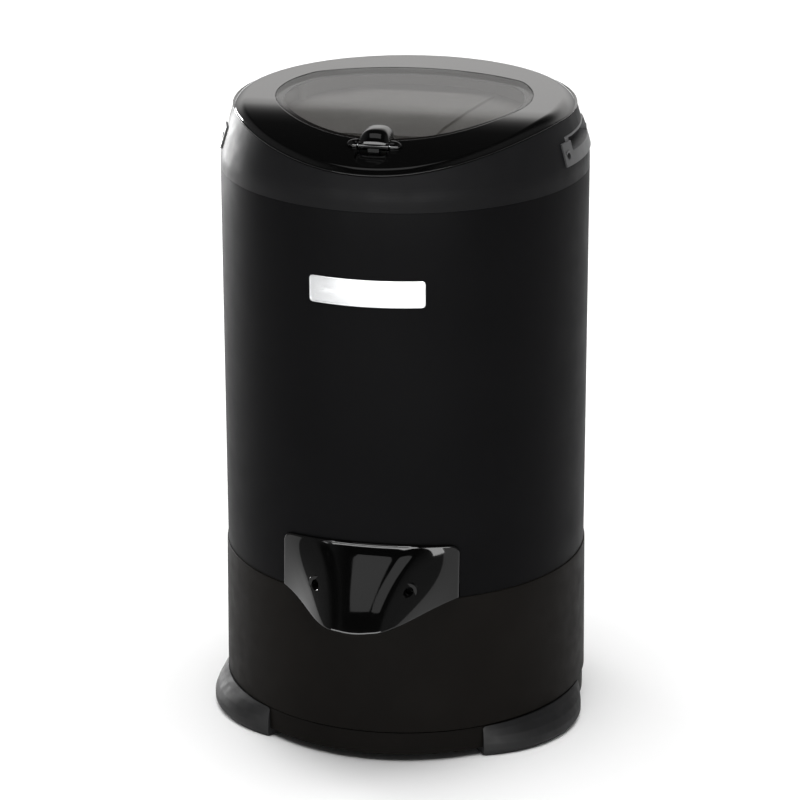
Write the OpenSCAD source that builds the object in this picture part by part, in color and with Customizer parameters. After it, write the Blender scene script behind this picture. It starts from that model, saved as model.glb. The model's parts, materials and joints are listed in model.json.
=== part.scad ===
// Laundry spin dryer, free standing, with a bottom-mounted motor, a top-loading drum and a gravity outlet.
// Millimetres. +Z is up and the front, with the outlet and the latch, looks along -Y. The origin is on the
// floor, in the middle of the footprint. Angles called theta are counted from the front towards +X.

/* [Body] */
// Radius of the painted casing
body_r = 170; // [166:1:176]
// Thickness of the casing sheet
casing_wall = 1.2; // [0.8:0.1:1.6]
// Height of the base band above the floor
foot_lift = 8; // [7:0.5:12]
// Height of the base band
band_h = 22; // [20:1:30]
// How far the base band stands proud of the casing
band_proud = 0.8; // [0.4:0.1:1.2]
// Height of the shadow groove above the base band
groove_gap = 1.2; // [0.8:0.1:2]
// Height of the lower ring
ring_h = 132.5; // [130:0.5:150]
// How far the foot of the lower ring stands proud of the casing
ring_proud = 2.3; // [1:0.1:3]
// Height of the casing
casing_h = 367.5; // [350:0.5:420]
// Wall of the moulded shells
shell_wall = 3; // [2.8:0.1:3.4]

/* [Collar and lid] */
// Height of the collar at the back
collar_h = 57; // [56:0.5:62]
// Thickness of the lid over its parting line
lid_h = 7; // [6.8:0.1:8]
// Slope of the collar's taper, sideways per unit of height
taper = 0.3; // [0.26:0.01:0.34]
// Radius of the bend where the taper starts
taper_blend = 47; // [30:1:60]
// Radius of the lid's rounded rim
rim_round = 12; // [9:0.5:14]
// Distance in front of the axis where the lid starts to bend down
bend_y = 40; // [30:1:50]
// Radius of the bend of the parting line
bend_r = 320; // [300:5:360]
// Gap between the lid and the collar
part_gap = 0.6; // [0.4:0.1:1]
// Width of the lid's border round the window
window_border = 52; // [50:1:58]
// Thickness of the window
window_t = 3; // [2.5:0.1:3]
// Gap round the window
window_gap = 0.4; // [0.3:0.1:0.8]
// Width of the collar, from the casing in to the mouth
collar_w = 58; // [57:1:62]
// How far the lid opens
lid_open = 95; // [60:5:100]

/* [Latch and hinge] */
// Half width of the latch tab
tab_half = 14; // [12:0.5:16]
// Height of the latch tab over its pivot
tab_h = 13.4; // [12:0.1:13.5]
// Radius of the finger well
well_r = 15; // [13:0.5:16]
// Depth of the finger well
well_depth = 4; // [3:0.1:4.4]
// Radius of the latch and hinge pins
pin_r = 2; // [1.5:0.1:2.4]
// Length of the hinge barrel
hinge_len = 60; // [54:1:70]
// Radius of the hinge barrel
barrel_r = 4.5; // [4:0.1:4.8]

/* [Grips] */
// Half angle of the finger slots
slot_half = 13.5; // [12:0.5:15]
// Height of the finger slots
slot_h = 13; // [12:0.5:15]
// How far the lip plates stand proud
lip_proud = 1.8; // [1:0.1:2.5]

/* [Outlet] */
// Half width of the spout
spout_half = 82; // [76:1:86]
// Height of the spout above the ring's seam
spout_rise = 56; // [54:1:60]
// How far the spout hangs below the seam
spout_drop = 9; // [7:0.5:12]
// How far the spout's nose stands out from the body
spout_out = 60; // [52:1:64]
// Thickness of the spout's edge over the body
spout_edge = 3; // [2.5:0.1:4]
// Depth of the valley down the middle of the spout
valley_depth = 3.2; // [2:0.1:3.4]
// Outer radius of the outlet pipe
pipe_r = 12; // [11:0.5:13]
// Wall of the outlet pipe
pipe_wall = 2.5; // [2:0.1:3]

/* [Nameplate] */
// Width of the plate along the casing
plate_w = 107; // [80:1:120]
// Height of the plate
plate_h = 25; // [20:1:30]
// Thickness of the plate
plate_t = 0.8; // [0.6:0.1:1.2]

/* [Feet] */
// How far the feet stand out from the casing
foot_out = 18; // [16:1:24]
// Angle each foot covers
foot_arc = 49; // [40:1:54]
// Angle from the front to each front foot
foot_theta = 61; // [55:1:66]

/* [Tub and drum] */
// Gap between the casing's outside and the fixed tub
tub_gap = 12; // [11.8:0.1:12.5]
// Wall of the fixed tub
tub_wall = 2.5; // [2:0.1:3]
// Height of the tub floor above the ring's seam
tub_rise = 59.5; // [58:0.5:66]
// Gap between the outsides of the tub and of the drum
drum_gap = 28; // [22:1:34]
// Height of the drum's floor above the tub's
drum_rise = 28; // [27:1:34]
// Wall of the drum
drum_wall = 1.2; // [1:0.1:1.6]
// Width of the drum's top lip
drum_lip = 26; // [24:1:32]
// Radius of the drum's holes
hole_r = 3; // [2:0.1:3.5]
// Rows of holes
hole_rows = 7; // [3:1:8]

/* [Motor and brake] */
// Radius of the drive shaft
shaft_r = 7; // [6:0.5:8]
// Radius of the motor housing
motor_r = 55; // [52:1:56]
// Height of the motor housing
motor_h = 68; // [66:1:74]
// Height of the motor plate above the pan's floor
plate_rise = 85; // [83:1:90]
// Radius of the motor plate
plate_r = 118; // [114:1:122]
// Distance from the axis to the rubber buffers
buffer_at = 104; // [100:1:106]
// Radius of the brake drum
brake_r = 45; // [42:1:46]
// Gap between the brake shoe and its drum at rest
brake_gap = 2.6; // [2.4:0.1:3]
// Radius of the brake cable
cable_r = 2.5; // [2:0.1:2.6]

/* [Hidden] */
$fn = 96;

// Clearances
run_fit = 0.05;   // a shaft or pin in its bore
seat_gap = 0.2;   // a piece beside its seat
part_clear = 0.4; // pieces that pass each other
joint_gap = 0.3;  // a piece of another body over its rest
past = 1;         // how far a cut runs past its face

// Radii that follow the casing's
foot_reach = body_r + foot_out;
mouth_r = body_r - collar_w;
window_r = body_r - window_border;
tub_r = body_r - tub_gap;
drum_r = tub_r - drum_gap;
drum_mouth_r = drum_r - drum_lip;

// Levels, from the floor up
groove_z = foot_lift + band_h;
band_top = groove_z - groove_gap / 2;
ring_z0 = groove_z + groove_gap / 2;
seam_z = groove_z + ring_h;
casing_top = seam_z + casing_h;
part_z = casing_top + collar_h;
top_z = part_z + lid_h;
pan_floor = foot_lift + shell_wall;

// The spout's nose reaches furthest to the front and the rear foot furthest to the back, and the origin is
// half way between them.
nose_top_z = seam_z + spout_rise;
nose_low_z = seam_z - spout_drop;
spout_reach = body_r + spout_edge + spout_out;
axis_y = (spout_reach - foot_reach) / 2;

// ---------- placing and outlines ----------

module at_axis() {
    translate([0, axis_y, 0]) children();
}

// Turns the local +X direction to the angle theta from the front
module turn(theta) {
    rotate([0, 0, theta - 90]) children();
}

module ring(r0, r1, z0, z1) {
    translate([0, 0, z0]) difference() {
        cylinder(r = r1, h = z1 - z0);
        translate([0, 0, -past]) cylinder(r = r0, h = z1 - z0 + 2 * past);
    }
}

module block(x0, x1, y0, y1, z0, z1) {
    translate([x0, y0, z0]) cube([x1 - x0, y1 - y0, z1 - z0]);
}

// A cylinder along X from x0 to x1 at the given y and z
module bar_x(r, x0, x1, y, z) {
    translate([x0, y, z]) rotate([0, 90, 0]) cylinder(r = r, h = x1 - x0, $fn = 48);
}

module post(r, x, y, z0, z1) {
    translate([x, y, z0]) cylinder(r = r, h = z1 - z0, $fn = 48);
}

// A solid between two angles theta, turned from an outline of [radius, height]
module sector(points, theta0, theta1) {
    rotate_extrude(angle = theta1 - theta0, start = theta0 - 90) polygon(points);
}

function box_points(r0, r1, z0, z1) = [[r0, z0], [r1, z0], [r1, z1], [r0, z1]];

function arc(cx, cy, r, a0, a1, n) =
    [for (i = [0 : n]) let (a = a0 + (a1 - a0) * i / n) [cx + r * cos(a), cy + r * sin(a)]];

// A rectangle with rounded corners about the origin
function round_rect(w, h, r) = concat(
    arc(w / 2 - r, h / 2 - r, r, 0, 90, 6), arc(r - w / 2, h / 2 - r, r, 90, 180, 6),
    arc(r - w / 2, r - h / 2, r, 180, 270, 6), arc(w / 2 - r, r - h / 2, r, 270, 360, 6));

// ---------- the tapered skin shared by the collar and the lid ----------

shoulder_z = casing_top + 7.5;
blend_h = taper * taper_blend;
taper_angle = atan(taper);

function taper_in(h) = h <= 0 ? 0 : h < blend_h ? h * h / (2 * taper_blend)
    : blend_h * taper / 2 + taper * (h - blend_h);
function skin_r(z) = body_r - taper_in(z - shoulder_z);

// Points up the skin from z0 to z1, moved inwards by inset
blend_steps = 5;
function skin_line(z0, z1, inset) = concat([[skin_r(z0) - inset, z0]],
    [for (i = [0 : blend_steps]) let (z = shoulder_z + blend_h * i / blend_steps)
        if (z > z0 + 0.1 && z < z1 - 0.1) [skin_r(z) - inset, z]],
    [[skin_r(z1) - inset, z1]]);

// Everything below the bent parting surface, raised by off
module below(off) {
    far = body_r + 40;
    low = casing_top - 60;
    steps = 20;
    last = asin((far - bend_y) / bend_r) + 2;
    r = bend_r + off;
    curve = [for (i = [1 : steps]) let (a = last * i / steps)
        [-bend_y - r * sin(a), part_z - bend_r + r * cos(a)]];
    rotate([90, 0, 90]) linear_extrude(height = 2 * far, center = true)
        polygon(concat([[far, low], [far, part_z + off], [-bend_y, part_z + off]], curve,
            [[curve[steps - 1][0], low]]));
}

// Height of the lid's surface, or of a surface off above the parting one, at a distance y in front
function surface_z(y, off) = y <= bend_y ? part_z + off
    : part_z - bend_r + sqrt(pow(bend_r + off, 2) - pow(y - bend_y, 2));
function surface_tilt(y) = y <= bend_y ? 0 : asin((y - bend_y) / (bend_r + lid_h));

// ---------- feet and base ----------

foot_in_r = body_r - 30;
foot_screw_r = body_r - 15;
foot_screw_theta = 12;
foot_toe = foot_reach - body_r;
screw_head_r = 5.2;

module foot(theta) {
    shank_hole = 2.8;
    recess = screw_head_r + part_clear;
    recess_h = 4;
    plan_r = foot_reach - body_r / 2;
    inner = body_r + band_proud + part_clear;
    top = band_top - 0.2;
    outline = [[foot_in_r, 0], [foot_reach - 4, 0], [foot_reach, 5], [foot_reach, 0.4 * band_top],
        [foot_reach - 0.2 * foot_toe, 0.64 * band_top], [foot_reach - 0.55 * foot_toe, 0.85 * band_top],
        [inner + 1.3, top], [inner, top], [inner, foot_lift], [foot_in_r, foot_lift]];
    color("#141415") at_axis() difference() {
        intersection() {
            sector(outline, theta - foot_arc / 2, theta + foot_arc / 2);
            turn(theta) post(plan_r, foot_reach - plan_r, 0, -past, band_top);
        }
        for (side = [-1, 1]) turn(theta + side * foot_screw_theta) {
            post(shank_hole, foot_screw_r, 0, -past, foot_lift + past);
            post(recess, foot_screw_r, 0, -past, recess_h);
        }
    }
}

module foot_left() { foot(-foot_theta); }
module foot_right() { foot(foot_theta); }
module foot_rear() { foot(180); }

module each_foot_screw() {
    for (theta = [-foot_theta, foot_theta, 180], side = [-1, 1])
        turn(theta + side * foot_screw_theta) translate([foot_screw_r, 0, 0]) children();
}

module foot_screws() {
    shank_r = 2.5;
    color("#8d9094") at_axis() each_foot_screw() {
        post(screw_head_r, 0, 0, 0.9, 3.9);
        post(shank_r, 0, 0, 3, pan_floor + 8);
    }
}

lip_r = body_r - 5; // outside of the pan's top lip
buffer_thetas = [-foot_theta, foot_theta, 180];
buffer_h = 46;
buffer_boss_z = pan_floor + plate_rise - buffer_h;
stud_r = 4;

module base_pan() {
    vent_r = 28;
    vent_hole_r = 7;
    vent_ring_r = 52;
    lip_t = 3;
    shelf_t = 3.2;
    boss_r = 18;
    color("#1d1c1b") at_axis() difference() {
        union() {
            rotate_extrude() polygon([[vent_r, foot_lift], [body_r + band_proud, foot_lift],
                [body_r + band_proud, band_top], [body_r - 1.8, band_top], [body_r - 1.8, ring_z0],
                [lip_r, ring_z0], [lip_r, ring_z0 + 5.4], [lip_r - lip_t, ring_z0 + 5.4],
                [lip_r - lip_t, ring_z0 - shelf_t], [body_r + band_proud - shell_wall, band_top - shelf_t],
                [body_r + band_proud - shell_wall, pan_floor], [vent_r, pan_floor]]);
            for (theta = buffer_thetas) turn(theta)
                post(boss_r, buffer_at, 0, pan_floor - past, buffer_boss_z);
            each_foot_screw() post(6, 0, 0, pan_floor - past, pan_floor + 10);
        }
        for (theta = buffer_thetas) turn(theta)
            post(stud_r + seat_gap, buffer_at, 0, buffer_boss_z - 14, buffer_boss_z + past);
        each_foot_screw() post(2.6, 0, 0, foot_lift - past, pan_floor + 10 + past);
        for (i = [0 : 11]) rotate(i * 30) post(vent_hole_r, vent_ring_r, 0, foot_lift - past, pan_floor + past);
    }
}

gland_theta = 152;
gland_z = groove_z + 30;
gland_r = 6;

module lower_ring() {
    foot_t = 3.4;
    lip_in = 1.5;
    lip_up = 7.5;
    top_out = 0.4;
    edge = 0.5;
    color("#232120") at_axis() difference() {
        rotate_extrude() polygon([[lip_r + part_clear, ring_z0], [body_r + ring_proud - edge, ring_z0],
            [body_r + ring_proud, ring_z0 + edge], [body_r + top_out, seam_z - edge],
            [body_r + top_out - edge, seam_z], [body_r - lip_in, seam_z], [body_r - lip_in, seam_z + lip_up],
            [body_r - lip_in - shell_wall, seam_z + lip_up], [body_r - lip_in - shell_wall, seam_z - shell_wall],
            [body_r + top_out - shell_wall, seam_z - 2 * shell_wall],
            [body_r + ring_proud - shell_wall, ring_z0 + foot_t + 2], [lip_r + part_clear, ring_z0 + foot_t]]);
        turn(gland_theta) bar_x(gland_r + seat_gap, lip_r, body_r + 10, 0, gland_z);
    }
}

module cord_gland() {
    bore_r = 3.5;
    flange_r = 9;
    skin = body_r + ring_proud;
    color("#161616") at_axis() turn(gland_theta) difference() {
        union() {
            bar_x(gland_r, skin - 9, skin + 4, 0, gland_z);
            bar_x(flange_r, skin + 0.1, skin + 4, 0, gland_z);
            bar_x(gland_r - 1, skin + 3, skin + 12, 0, gland_z);
            bar_x(flange_r, skin - 8, skin - shell_wall - 0.7, 0, gland_z);
        }
        bar_x(bore_r, skin - 10, skin + 13, 0, gland_z);
    }
}

// ---------- casing ----------

outlet_screw_x = 43.3;
outlet_screw_z = seam_z + 20.2;
pipe_y = -(tub_r - 23);
pipe_z = seam_z + 27.5;

module casing() {
    color("#1b1b1c") at_axis() difference() {
        ring(body_r - casing_wall, body_r, seam_z, casing_top, $fn = 180);
        translate([0, 0, pipe_z]) rotate([90, 0, 0]) cylinder(r = pipe_r + 1, h = body_r + 10);
        for (side = [-1, 1]) translate([side * outlet_screw_x, 0, outlet_screw_z])
            rotate([90, 0, 0]) cylinder(r = 2.2, h = body_r + 10, $fn = 32);
    }
}

module nameplate() {
    base = body_r + 0.15;
    plate_z = casing_top - 74.5;
    corner = 3;
    chord = 2 * base * sin(plate_w / 2 / base * 180 / PI);
    color("#c9cbcd") at_axis() intersection() {
        ring(base, base + plate_t, plate_z - plate_h, plate_z + plate_h, $fn = 180);
        translate([0, 0, plate_z]) rotate([90, 0, 0]) linear_extrude(height = body_r + 10)
            polygon(round_rect(chord, plate_h, corner));
    }
}

// ---------- collar ----------

inner_wall_r = mouth_r + 22;      // inside of the collar's inner wall
deck_z = part_z - 41;             // underside of the sealing deck
spigot_r = body_r - casing_wall - seat_gap;
wall_in = 3.5;
screw_post_r = 3.8;
tub_screw_r = tub_r + screw_post_r + 0.5;
tub_screw_count = 6;
tub_flange_z = casing_top - 10.3; // top of the tub's hanging flange
pivot_y = body_r - 11.5;          // hinge pin, behind the axis
pivot_z = part_z - 3;
plunger_theta = -145;
plunger_at = body_r - 25.7;
plunger_r = 3;
latch_y = body_r - 39;            // latch pin, in front of the axis
latch_z = surface_z(latch_y, lid_h) - 0.6;
hook_drop = 24.5;                 // latch pin down to the hook's tip
catch_z = latch_z - hook_drop + 4;
pocket_half = 12;
cable_lug_x = 22;
barrel_clear = barrel_r + 0.6;
flange_top = part_z - part_gap;
lug_half = 4;
lug_z0 = part_z - 19;

module each_tub_screw() {
    for (i = [0 : tub_screw_count - 1]) turn(i * 360 / tub_screw_count + 15)
        translate([tub_screw_r, 0, 0]) children();
}

module collar_body() {
    difference() {
        intersection() {
            rotate_extrude($fn = 180) polygon(concat([[inner_wall_r, part_z + past], [inner_wall_r, casing_top]],
                skin_line(casing_top, part_z + past, 0)));
            below(-part_gap);
        }
        intersection() {
            rotate_extrude($fn = 180) polygon(concat([[0, part_z], [0, casing_top - past]],
                skin_line(casing_top - past, part_z, wall_in)));
            below(-part_gap - shell_wall);
        }
    }
}

module grip_cut(side) {
    gap = joint_gap;
    sector(box_points(grip_back_r - gap, body_r + 10, grip_floor_z - gap, grip_roof_z + gap),
        side * 90 - grip_half - gap / 2, side * 90 + grip_half + gap / 2);
    for (end = [-1, 1]) turn(side * 90 + end * grip_screw_theta) {
        bar_x(grip_boss_r + gap, inner_wall_r + 8, body_r + 10, 0, grip_screw_z);
        bar_x(1.7, inner_wall_r - past, inner_wall_r + 8, 0, grip_screw_z);
    }
}

pocket_y0 = latch_y + 19;
pocket_y1 = latch_y - 3;
pocket_wall = 2;
pocket_z = catch_z - 8;

module collar() {
    notch_half = hinge_len / 2 + 1.5;
    thin = 1.5;
    color("#1f1f20") at_axis() difference() {
        union() {
            collar_body();
            ring(spigot_r - shell_wall, spigot_r, casing_top - 10, casing_top + 3);
            each_tub_screw() post(screw_post_r, 0, 0, casing_top - 10, casing_top + 8);
            intersection() {
                block(-pocket_half - pocket_wall, pocket_half + pocket_wall, -pocket_y0 - pocket_wall,
                    -inner_wall_r, pocket_z - pocket_wall, part_z);
                below(-part_gap - 1);
            }
        }
        each_tub_screw() post(1.6, 0, 0, casing_top - 10 - past, casing_top + 5);
        for (side = [-1, 1]) grip_cut(side);
        // latch pocket, with a ledge on each side for the catch plate
        block(-pocket_half, pocket_half, -pocket_y0, -pocket_y1, catch_z, part_z + past);
        block(-pocket_half + 3, pocket_half - 3, -pocket_y0, -pocket_y1, pocket_z, catch_z + past);
        // hinge notch, the lid's knuckle and the cable lug
        bar_x(barrel_clear, -notch_half, notch_half, pivot_y, pivot_z);
        block(-notch_half, notch_half, pivot_y - 17.5, pivot_y + 10, flange_top - thin, part_z + past);
        block(cable_lug_x - lug_half - 0.3, cable_lug_x + lug_half + 0.3, pivot_y - 15.5, pivot_y - 7,
            flange_top - 5, part_z + past);
        turn(plunger_theta) post(plunger_r + run_fit, plunger_at, 0, part_z - 10, part_z + past);
    }
}

// The mouth's ring: the wall under the collar's inner edge, the deck that the lid's seal lies on, and its lip
module mouth_ring() {
    outer = inner_wall_r + shell_wall;
    side_gap = 0.05;
    color("#1f1f20") at_axis() difference() {
        union() {
            intersection() {
                ring(inner_wall_r, outer, deck_z, part_z);
                below(-part_gap - shell_wall);
            }
            ring(mouth_r, outer, deck_z, deck_z + shell_wall);
            ring(mouth_r, mouth_r + shell_wall, deck_z - 10, deck_z + 1);
        }
        block(-pocket_half - pocket_wall - side_gap, pocket_half + pocket_wall + side_gap, -pocket_y0,
            -pocket_y1, pocket_z - pocket_wall - side_gap, part_z);
        for (side = [-1, 1], end = [-1, 1]) turn(side * 90 + end * grip_screw_theta)
            bar_x(1.7, inner_wall_r - past, outer + past, 0, grip_screw_z);
    }
}

module catch_plate() {
    plate_t2 = 1.5;
    color("#a4a7aa") at_axis() block(-pocket_half + 0.2, pocket_half - 0.2, -(latch_y + 18.8),
        -(latch_y + hook_reach + 1.2), catch_z, catch_z + plate_t2);
}

module interlock_switch() {
    body_w = 22;
    body_t = 8.5;
    body_h = 11.8;
    pillar = 3.5;
    z0 = plunger_z0 - joint_gap - body_h;
    color("#2c2c2e") at_axis() turn(plunger_theta) translate([plunger_at - body_t / 2, 0, 0]) {
        block(0, body_t, -body_w / 2, body_w / 2, z0, z0 + body_h);
        for (end = [-1, 1]) translate([0, end * (body_w - pillar) / 2, 0])
            block(0, body_t, -pillar / 2, pillar / 2, z0, flange_top - shell_wall);
    }
}

plunger_z0 = part_z - 11;

module interlock_plunger() {
    stop_r = 4.4;
    stop_z = part_z - 10;
    color("#d9d9d6") at_axis() turn(plunger_theta) {
        post(plunger_r, plunger_at, 0, plunger_z0, part_z + 0.1);
        post(stop_r, plunger_at, 0, stop_z, stop_z + 2);
    }
}

// ---------- grips ----------

grip_half = slot_half + 2.5;
grip_back_r = inner_wall_r + shell_wall + 1.7;
grip_roof_z = part_z - 14;
grip_floor_z = grip_roof_z - slot_h - 4.5;
slot_z0 = grip_floor_z + 2.5;
grip_screw_theta = slot_half + 3.5;
grip_screw_z = grip_floor_z + 1.5;
grip_boss_r = 5;

module grip(side) {
    lip_half = slot_half + 6;
    lip_z0 = grip_floor_z - 7;
    lip_z1 = slot_z0 + 11;
    lip_edge = 1.5;
    lip_deep = 3;
    slot_top = slot_z0 + slot_h;
    lip_back_r = skin_r(slot_top) - lip_deep;
    back_wall = 2.5;
    boss_end = inner_wall_r + 14;
    socket_end = boss_end + 4;
    color("#2f2f30") at_axis() difference() {
        union() {
            intersection() {
                sector(box_points(grip_back_r, body_r, grip_floor_z, grip_roof_z),
                    side * 90 - grip_half, side * 90 + grip_half);
                rotate_extrude($fn = 180) polygon(concat([[0, part_z], [0, casing_top]],
                    skin_line(casing_top, part_z, 0)));
            }
            sector(concat(skin_line(lip_z0, lip_z1, -lip_proud),
                [[skin_r(lip_z1) + 0.15, lip_z1]],
                [for (i = [1 : 4]) let (z = lip_z1 - (lip_z1 - lip_z0) * i / 4) [skin_r(z) + 0.15, z]]),
                side * 90 - lip_half, side * 90 + lip_half);
            for (end = [-1, 1]) turn(side * 90 + end * grip_screw_theta)
                bar_x(grip_boss_r, boss_end, skin_r(grip_screw_z) + lip_proud - 0.5, 0, grip_screw_z);
        }
        sector([[grip_back_r + back_wall, slot_z0], [lip_back_r, slot_z0], [lip_back_r, slot_z0 + lip_edge],
            [body_r + 10, slot_z0 + lip_edge], [body_r + 10, slot_top], [grip_back_r + back_wall, slot_top]],
            side * 90 - slot_half, side * 90 + slot_half);
        for (end = [-1, 1]) turn(side * 90 + end * grip_screw_theta) {
            bar_x(1.8, boss_end - past, socket_end + past, 0, grip_screw_z);
            bar_x(3.2, socket_end, body_r + 10, 0, grip_screw_z);
        }
    }
}

module grip_left() { grip(-1); }
module grip_right() { grip(1); }

module grip_screws() {
    seat = inner_wall_r + 18;
    color("#8d9094") at_axis() for (side = [-1, 1], end = [-1, 1]) turn(side * 90 + end * grip_screw_theta) {
        bar_x(3, seat, seat + 2.5, 0, grip_screw_z);
        bar_x(1.6, inner_wall_r, seat + 1, 0, grip_screw_z);
    }
}

// ---------- outlet ----------

// The nose is a bell across the body that grows from the plate's top edge down to its open underside.
bell_half = 0.707 * spout_half;
bell_power = 2.9;
nose_h = nose_top_z - nose_low_z;
corner_r = 8;

function bell(x) = exp(-pow(abs(x) / bell_half, bell_power));
function nose_out(z) = (spout_out + valley_depth)
    * pow(sin(90 * max(0, min(1, (nose_top_z - z) / nose_h))), 1.2);
function corner_cut(x) = let (d = abs(x) - (spout_half - corner_r))
    d <= 0 ? 0 : corner_r - sqrt(max(0, corner_r * corner_r - d * d));
function edge_top(x) = nose_top_z - 3.7 * pow(x / spout_half, 2) - corner_cut(x);
function edge_low(x) = nose_low_z + 11 * pow(abs(x) / spout_half, 1.5);
// Half width of the valley, which narrows downwards
function valley_half(z) = 20 + 26 * pow(max(0, (z - nose_low_z) / nose_h), 2.2);
function smooth(t) = let (u = max(0, min(1, t))) u * u * (3 - 2 * u);
function valley(x, z) = valley_depth * smooth((valley_half(z) - abs(x)) / 5 + 0.5)
    * smooth((nose_top_z - z) / 12);
function body_front(x) = sqrt(body_r * body_r - x * x);
function nose_front(x, z) = body_front(x) + spout_edge + nose_out(z) * bell(x) - valley(x, z);
function nose_back(x, z) = body_front(x) - 2 + max(0, nose_out(z) - 2) * bell(x);

module nose() {
    columns = 48;
    rows = 16;
    xs = [for (i = [0 : columns]) spout_half * sin(90 * (2 * i / columns - 1))];
    function level(x, j) = edge_low(x) + (edge_top(x) - edge_low(x)) * j / rows;
    front = [for (x = xs, j = [0 : rows]) let (z = level(x, j)) [x, -nose_front(x, z), z]];
    back = [for (x = xs, j = [0 : rows]) let (z = level(x, j)) [x, -nose_back(x, z), z]];
    n = len(front);
    row = rows + 1;
    // Two triangles per cell of each sheet, and a strip round the four borders
    cells = [for (i = [0 : columns - 1], j = [0 : rows - 1]) i * row + j];
    skins = [for (c = cells, f = [[c, c + row, c + row + 1], [c, c + row + 1, c + 1],
        [n + c, n + c + row + 1, n + c + row], [n + c, n + c + 1, n + c + row + 1]]) f];
    ends = [for (j = [0 : rows - 1], e = [[j, j + 1], [columns * row + j + 1, columns * row + j]],
        f = [[e[0], e[1], n + e[1]], [e[0], n + e[1], n + e[0]]]) f];
    edges = [for (i = [0 : columns - 1], e = [[i * row, (i + 1) * row], [(i + 1) * row + rows, i * row + rows]],
        f = [[e[0], n + e[0], n + e[1]], [e[0], n + e[1], e[1]]]) f];
    // Faces are listed clockwise seen from outside
    polyhedron(points = concat(front, back),
        faces = [for (f = concat(skins, ends, edges)) [f[0], f[2], f[1]]]);
}

module outlet_spout() {
    boss_r = 7;
    socket_r = 4;
    seat_y = body_front(outlet_screw_x) + 3.4;
    color("#0f0f10") at_axis() difference() {
        union() {
            nose();
            for (side = [-1, 1]) translate([side * outlet_screw_x, -body_r + 20, outlet_screw_z])
                rotate([90, 0, 0]) cylinder(r = boss_r, h = nose_front(outlet_screw_x, outlet_screw_z)
                    - body_r + 20 - 5, $fn = 48);
        }
        translate([0, 0, nose_low_z - 20]) cylinder(r = body_r + ring_proud / 4 + 0.15, h = nose_h + 60, $fn = 180);
        for (side = [-1, 1]) translate([side * outlet_screw_x, 0, outlet_screw_z]) rotate([90, 0, 0]) {
            cylinder(r = 2.2, h = body_r + 10, $fn = 32);
            translate([0, 0, seat_y]) cylinder(r = socket_r, h = 80, $fn = 48);
        }
    }
}

module outlet_screws() {
    seat_y = body_front(outlet_screw_x) + 3.4;
    color("#3a3a3c") at_axis() for (side = [-1, 1]) translate([side * outlet_screw_x, 0, outlet_screw_z])
        rotate([90, 0, 0]) {
            translate([0, 0, seat_y - 10]) cylinder(r = 2, h = 11, $fn = 32);
            translate([0, 0, seat_y]) cylinder(r = 3.7, h = 2.5, $fn = 32);
        }
}

module outlet_pipe() {
    end_y = body_r + 13;
    bore = pipe_r - pipe_wall;
    flange_r = pipe_r + 4;
    color("#202021") at_axis() difference() {
        union() {
            post(pipe_r, 0, pipe_y, pipe_z, tub_z + tub_wall + 0.5);
            post(flange_r, 0, pipe_y, tub_z + tub_wall, tub_z + tub_wall + 2);
            translate([0, pipe_y, pipe_z]) sphere(r = pipe_r, $fn = 48);
            translate([0, pipe_y, pipe_z]) rotate([90, 0, 0]) cylinder(r = pipe_r, h = end_y + pipe_y, $fn = 48);
        }
        post(bore, 0, pipe_y, pipe_z, tub_z + tub_wall + 10);
        translate([0, pipe_y, pipe_z]) sphere(r = bore, $fn = 48);
        translate([0, pipe_y, pipe_z]) rotate([90, 0, 0]) cylinder(r = bore, h = end_y + pipe_y + past, $fn = 48);
    }
}

// ---------- tub and its seals ----------

tub_z = seam_z + tub_rise;
tub_top = casing_top + 3;
neck_r = 22;
tower_r0 = neck_r + 5;
tower_top = tub_z + 18;
cable_turn = 35.066; // angle of the cable's rise, from +X
cable_at = tub_r + 3.88;
cable_x = cable_at * cos(cable_turn);
cable_y = cable_at * sin(cable_turn);

module inner_tub() {
    flange_t = 2.5;
    color("#b9bcbe") at_axis() difference() {
        rotate_extrude($fn = 180) polygon([[tower_r0, tub_z], [tub_r, tub_z], [tub_r, tub_flange_z - flange_t],
            [spigot_r, tub_flange_z - flange_t], [spigot_r, tub_flange_z], [tub_r, tub_flange_z],
            [tub_r, tub_top], [tub_r - tub_wall, tub_top], [tub_r - tub_wall, tub_z + tub_wall],
            [tower_r0 + shell_wall, tub_z + tub_wall], [tower_r0 + shell_wall, tower_top], [tower_r0, tower_top]]);
        post(pipe_r + seat_gap, 0, pipe_y, tub_z - past, tub_z + tub_wall + past);
        each_tub_screw() post(1.7, 0, 0, tub_flange_z - flange_t - past, tub_flange_z + past);
        post(cable_r + 0.6, cable_x, cable_y, tub_flange_z - flange_t - past, tub_flange_z + past);
    }
}

gasket_t = 1.2;

module tub_gasket() {
    color("#2a2a2a") at_axis() ring(tub_r - tub_wall, tub_r, tub_top, tub_top + gasket_t);
}

module tub_cover() {
    z = tub_top + gasket_t;
    in_r = mouth_r + shell_wall + 2;
    lip = 2;
    color("#cfd1d2") at_axis() rotate_extrude($fn = 144) polygon([[in_r, z - 3.2], [in_r + lip, z - 3.2],
        [in_r + lip, z], [tub_r, z], [tub_r, z + 2.5], [in_r, z + 2.5]]);
}

module tub_screws() {
    z = tub_flange_z - 2.5;
    color("#8d9094") at_axis() each_tub_screw() {
        post(3, 0, 0, z - 2.5, z);
        post(1.5, 0, 0, z - 1, casing_top);
    }
}

module shaft_bellows() {
    wall = 1.6;
    r0 = neck_r + seat_gap;
    r1 = tower_r0 - seat_gap;
    low = tub_z - 12;
    color("#262626") at_axis() rotate_extrude() polygon([[r0, low], [r1, low], [r1, tower_top],
        [r1 - wall, tower_top], [r1 - wall, low + wall], [r0 + wall, low + wall], [r0 + wall, tower_top - 4],
        [r0, tower_top - 4]]);
}

// ---------- motor and its suspension ----------

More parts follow.
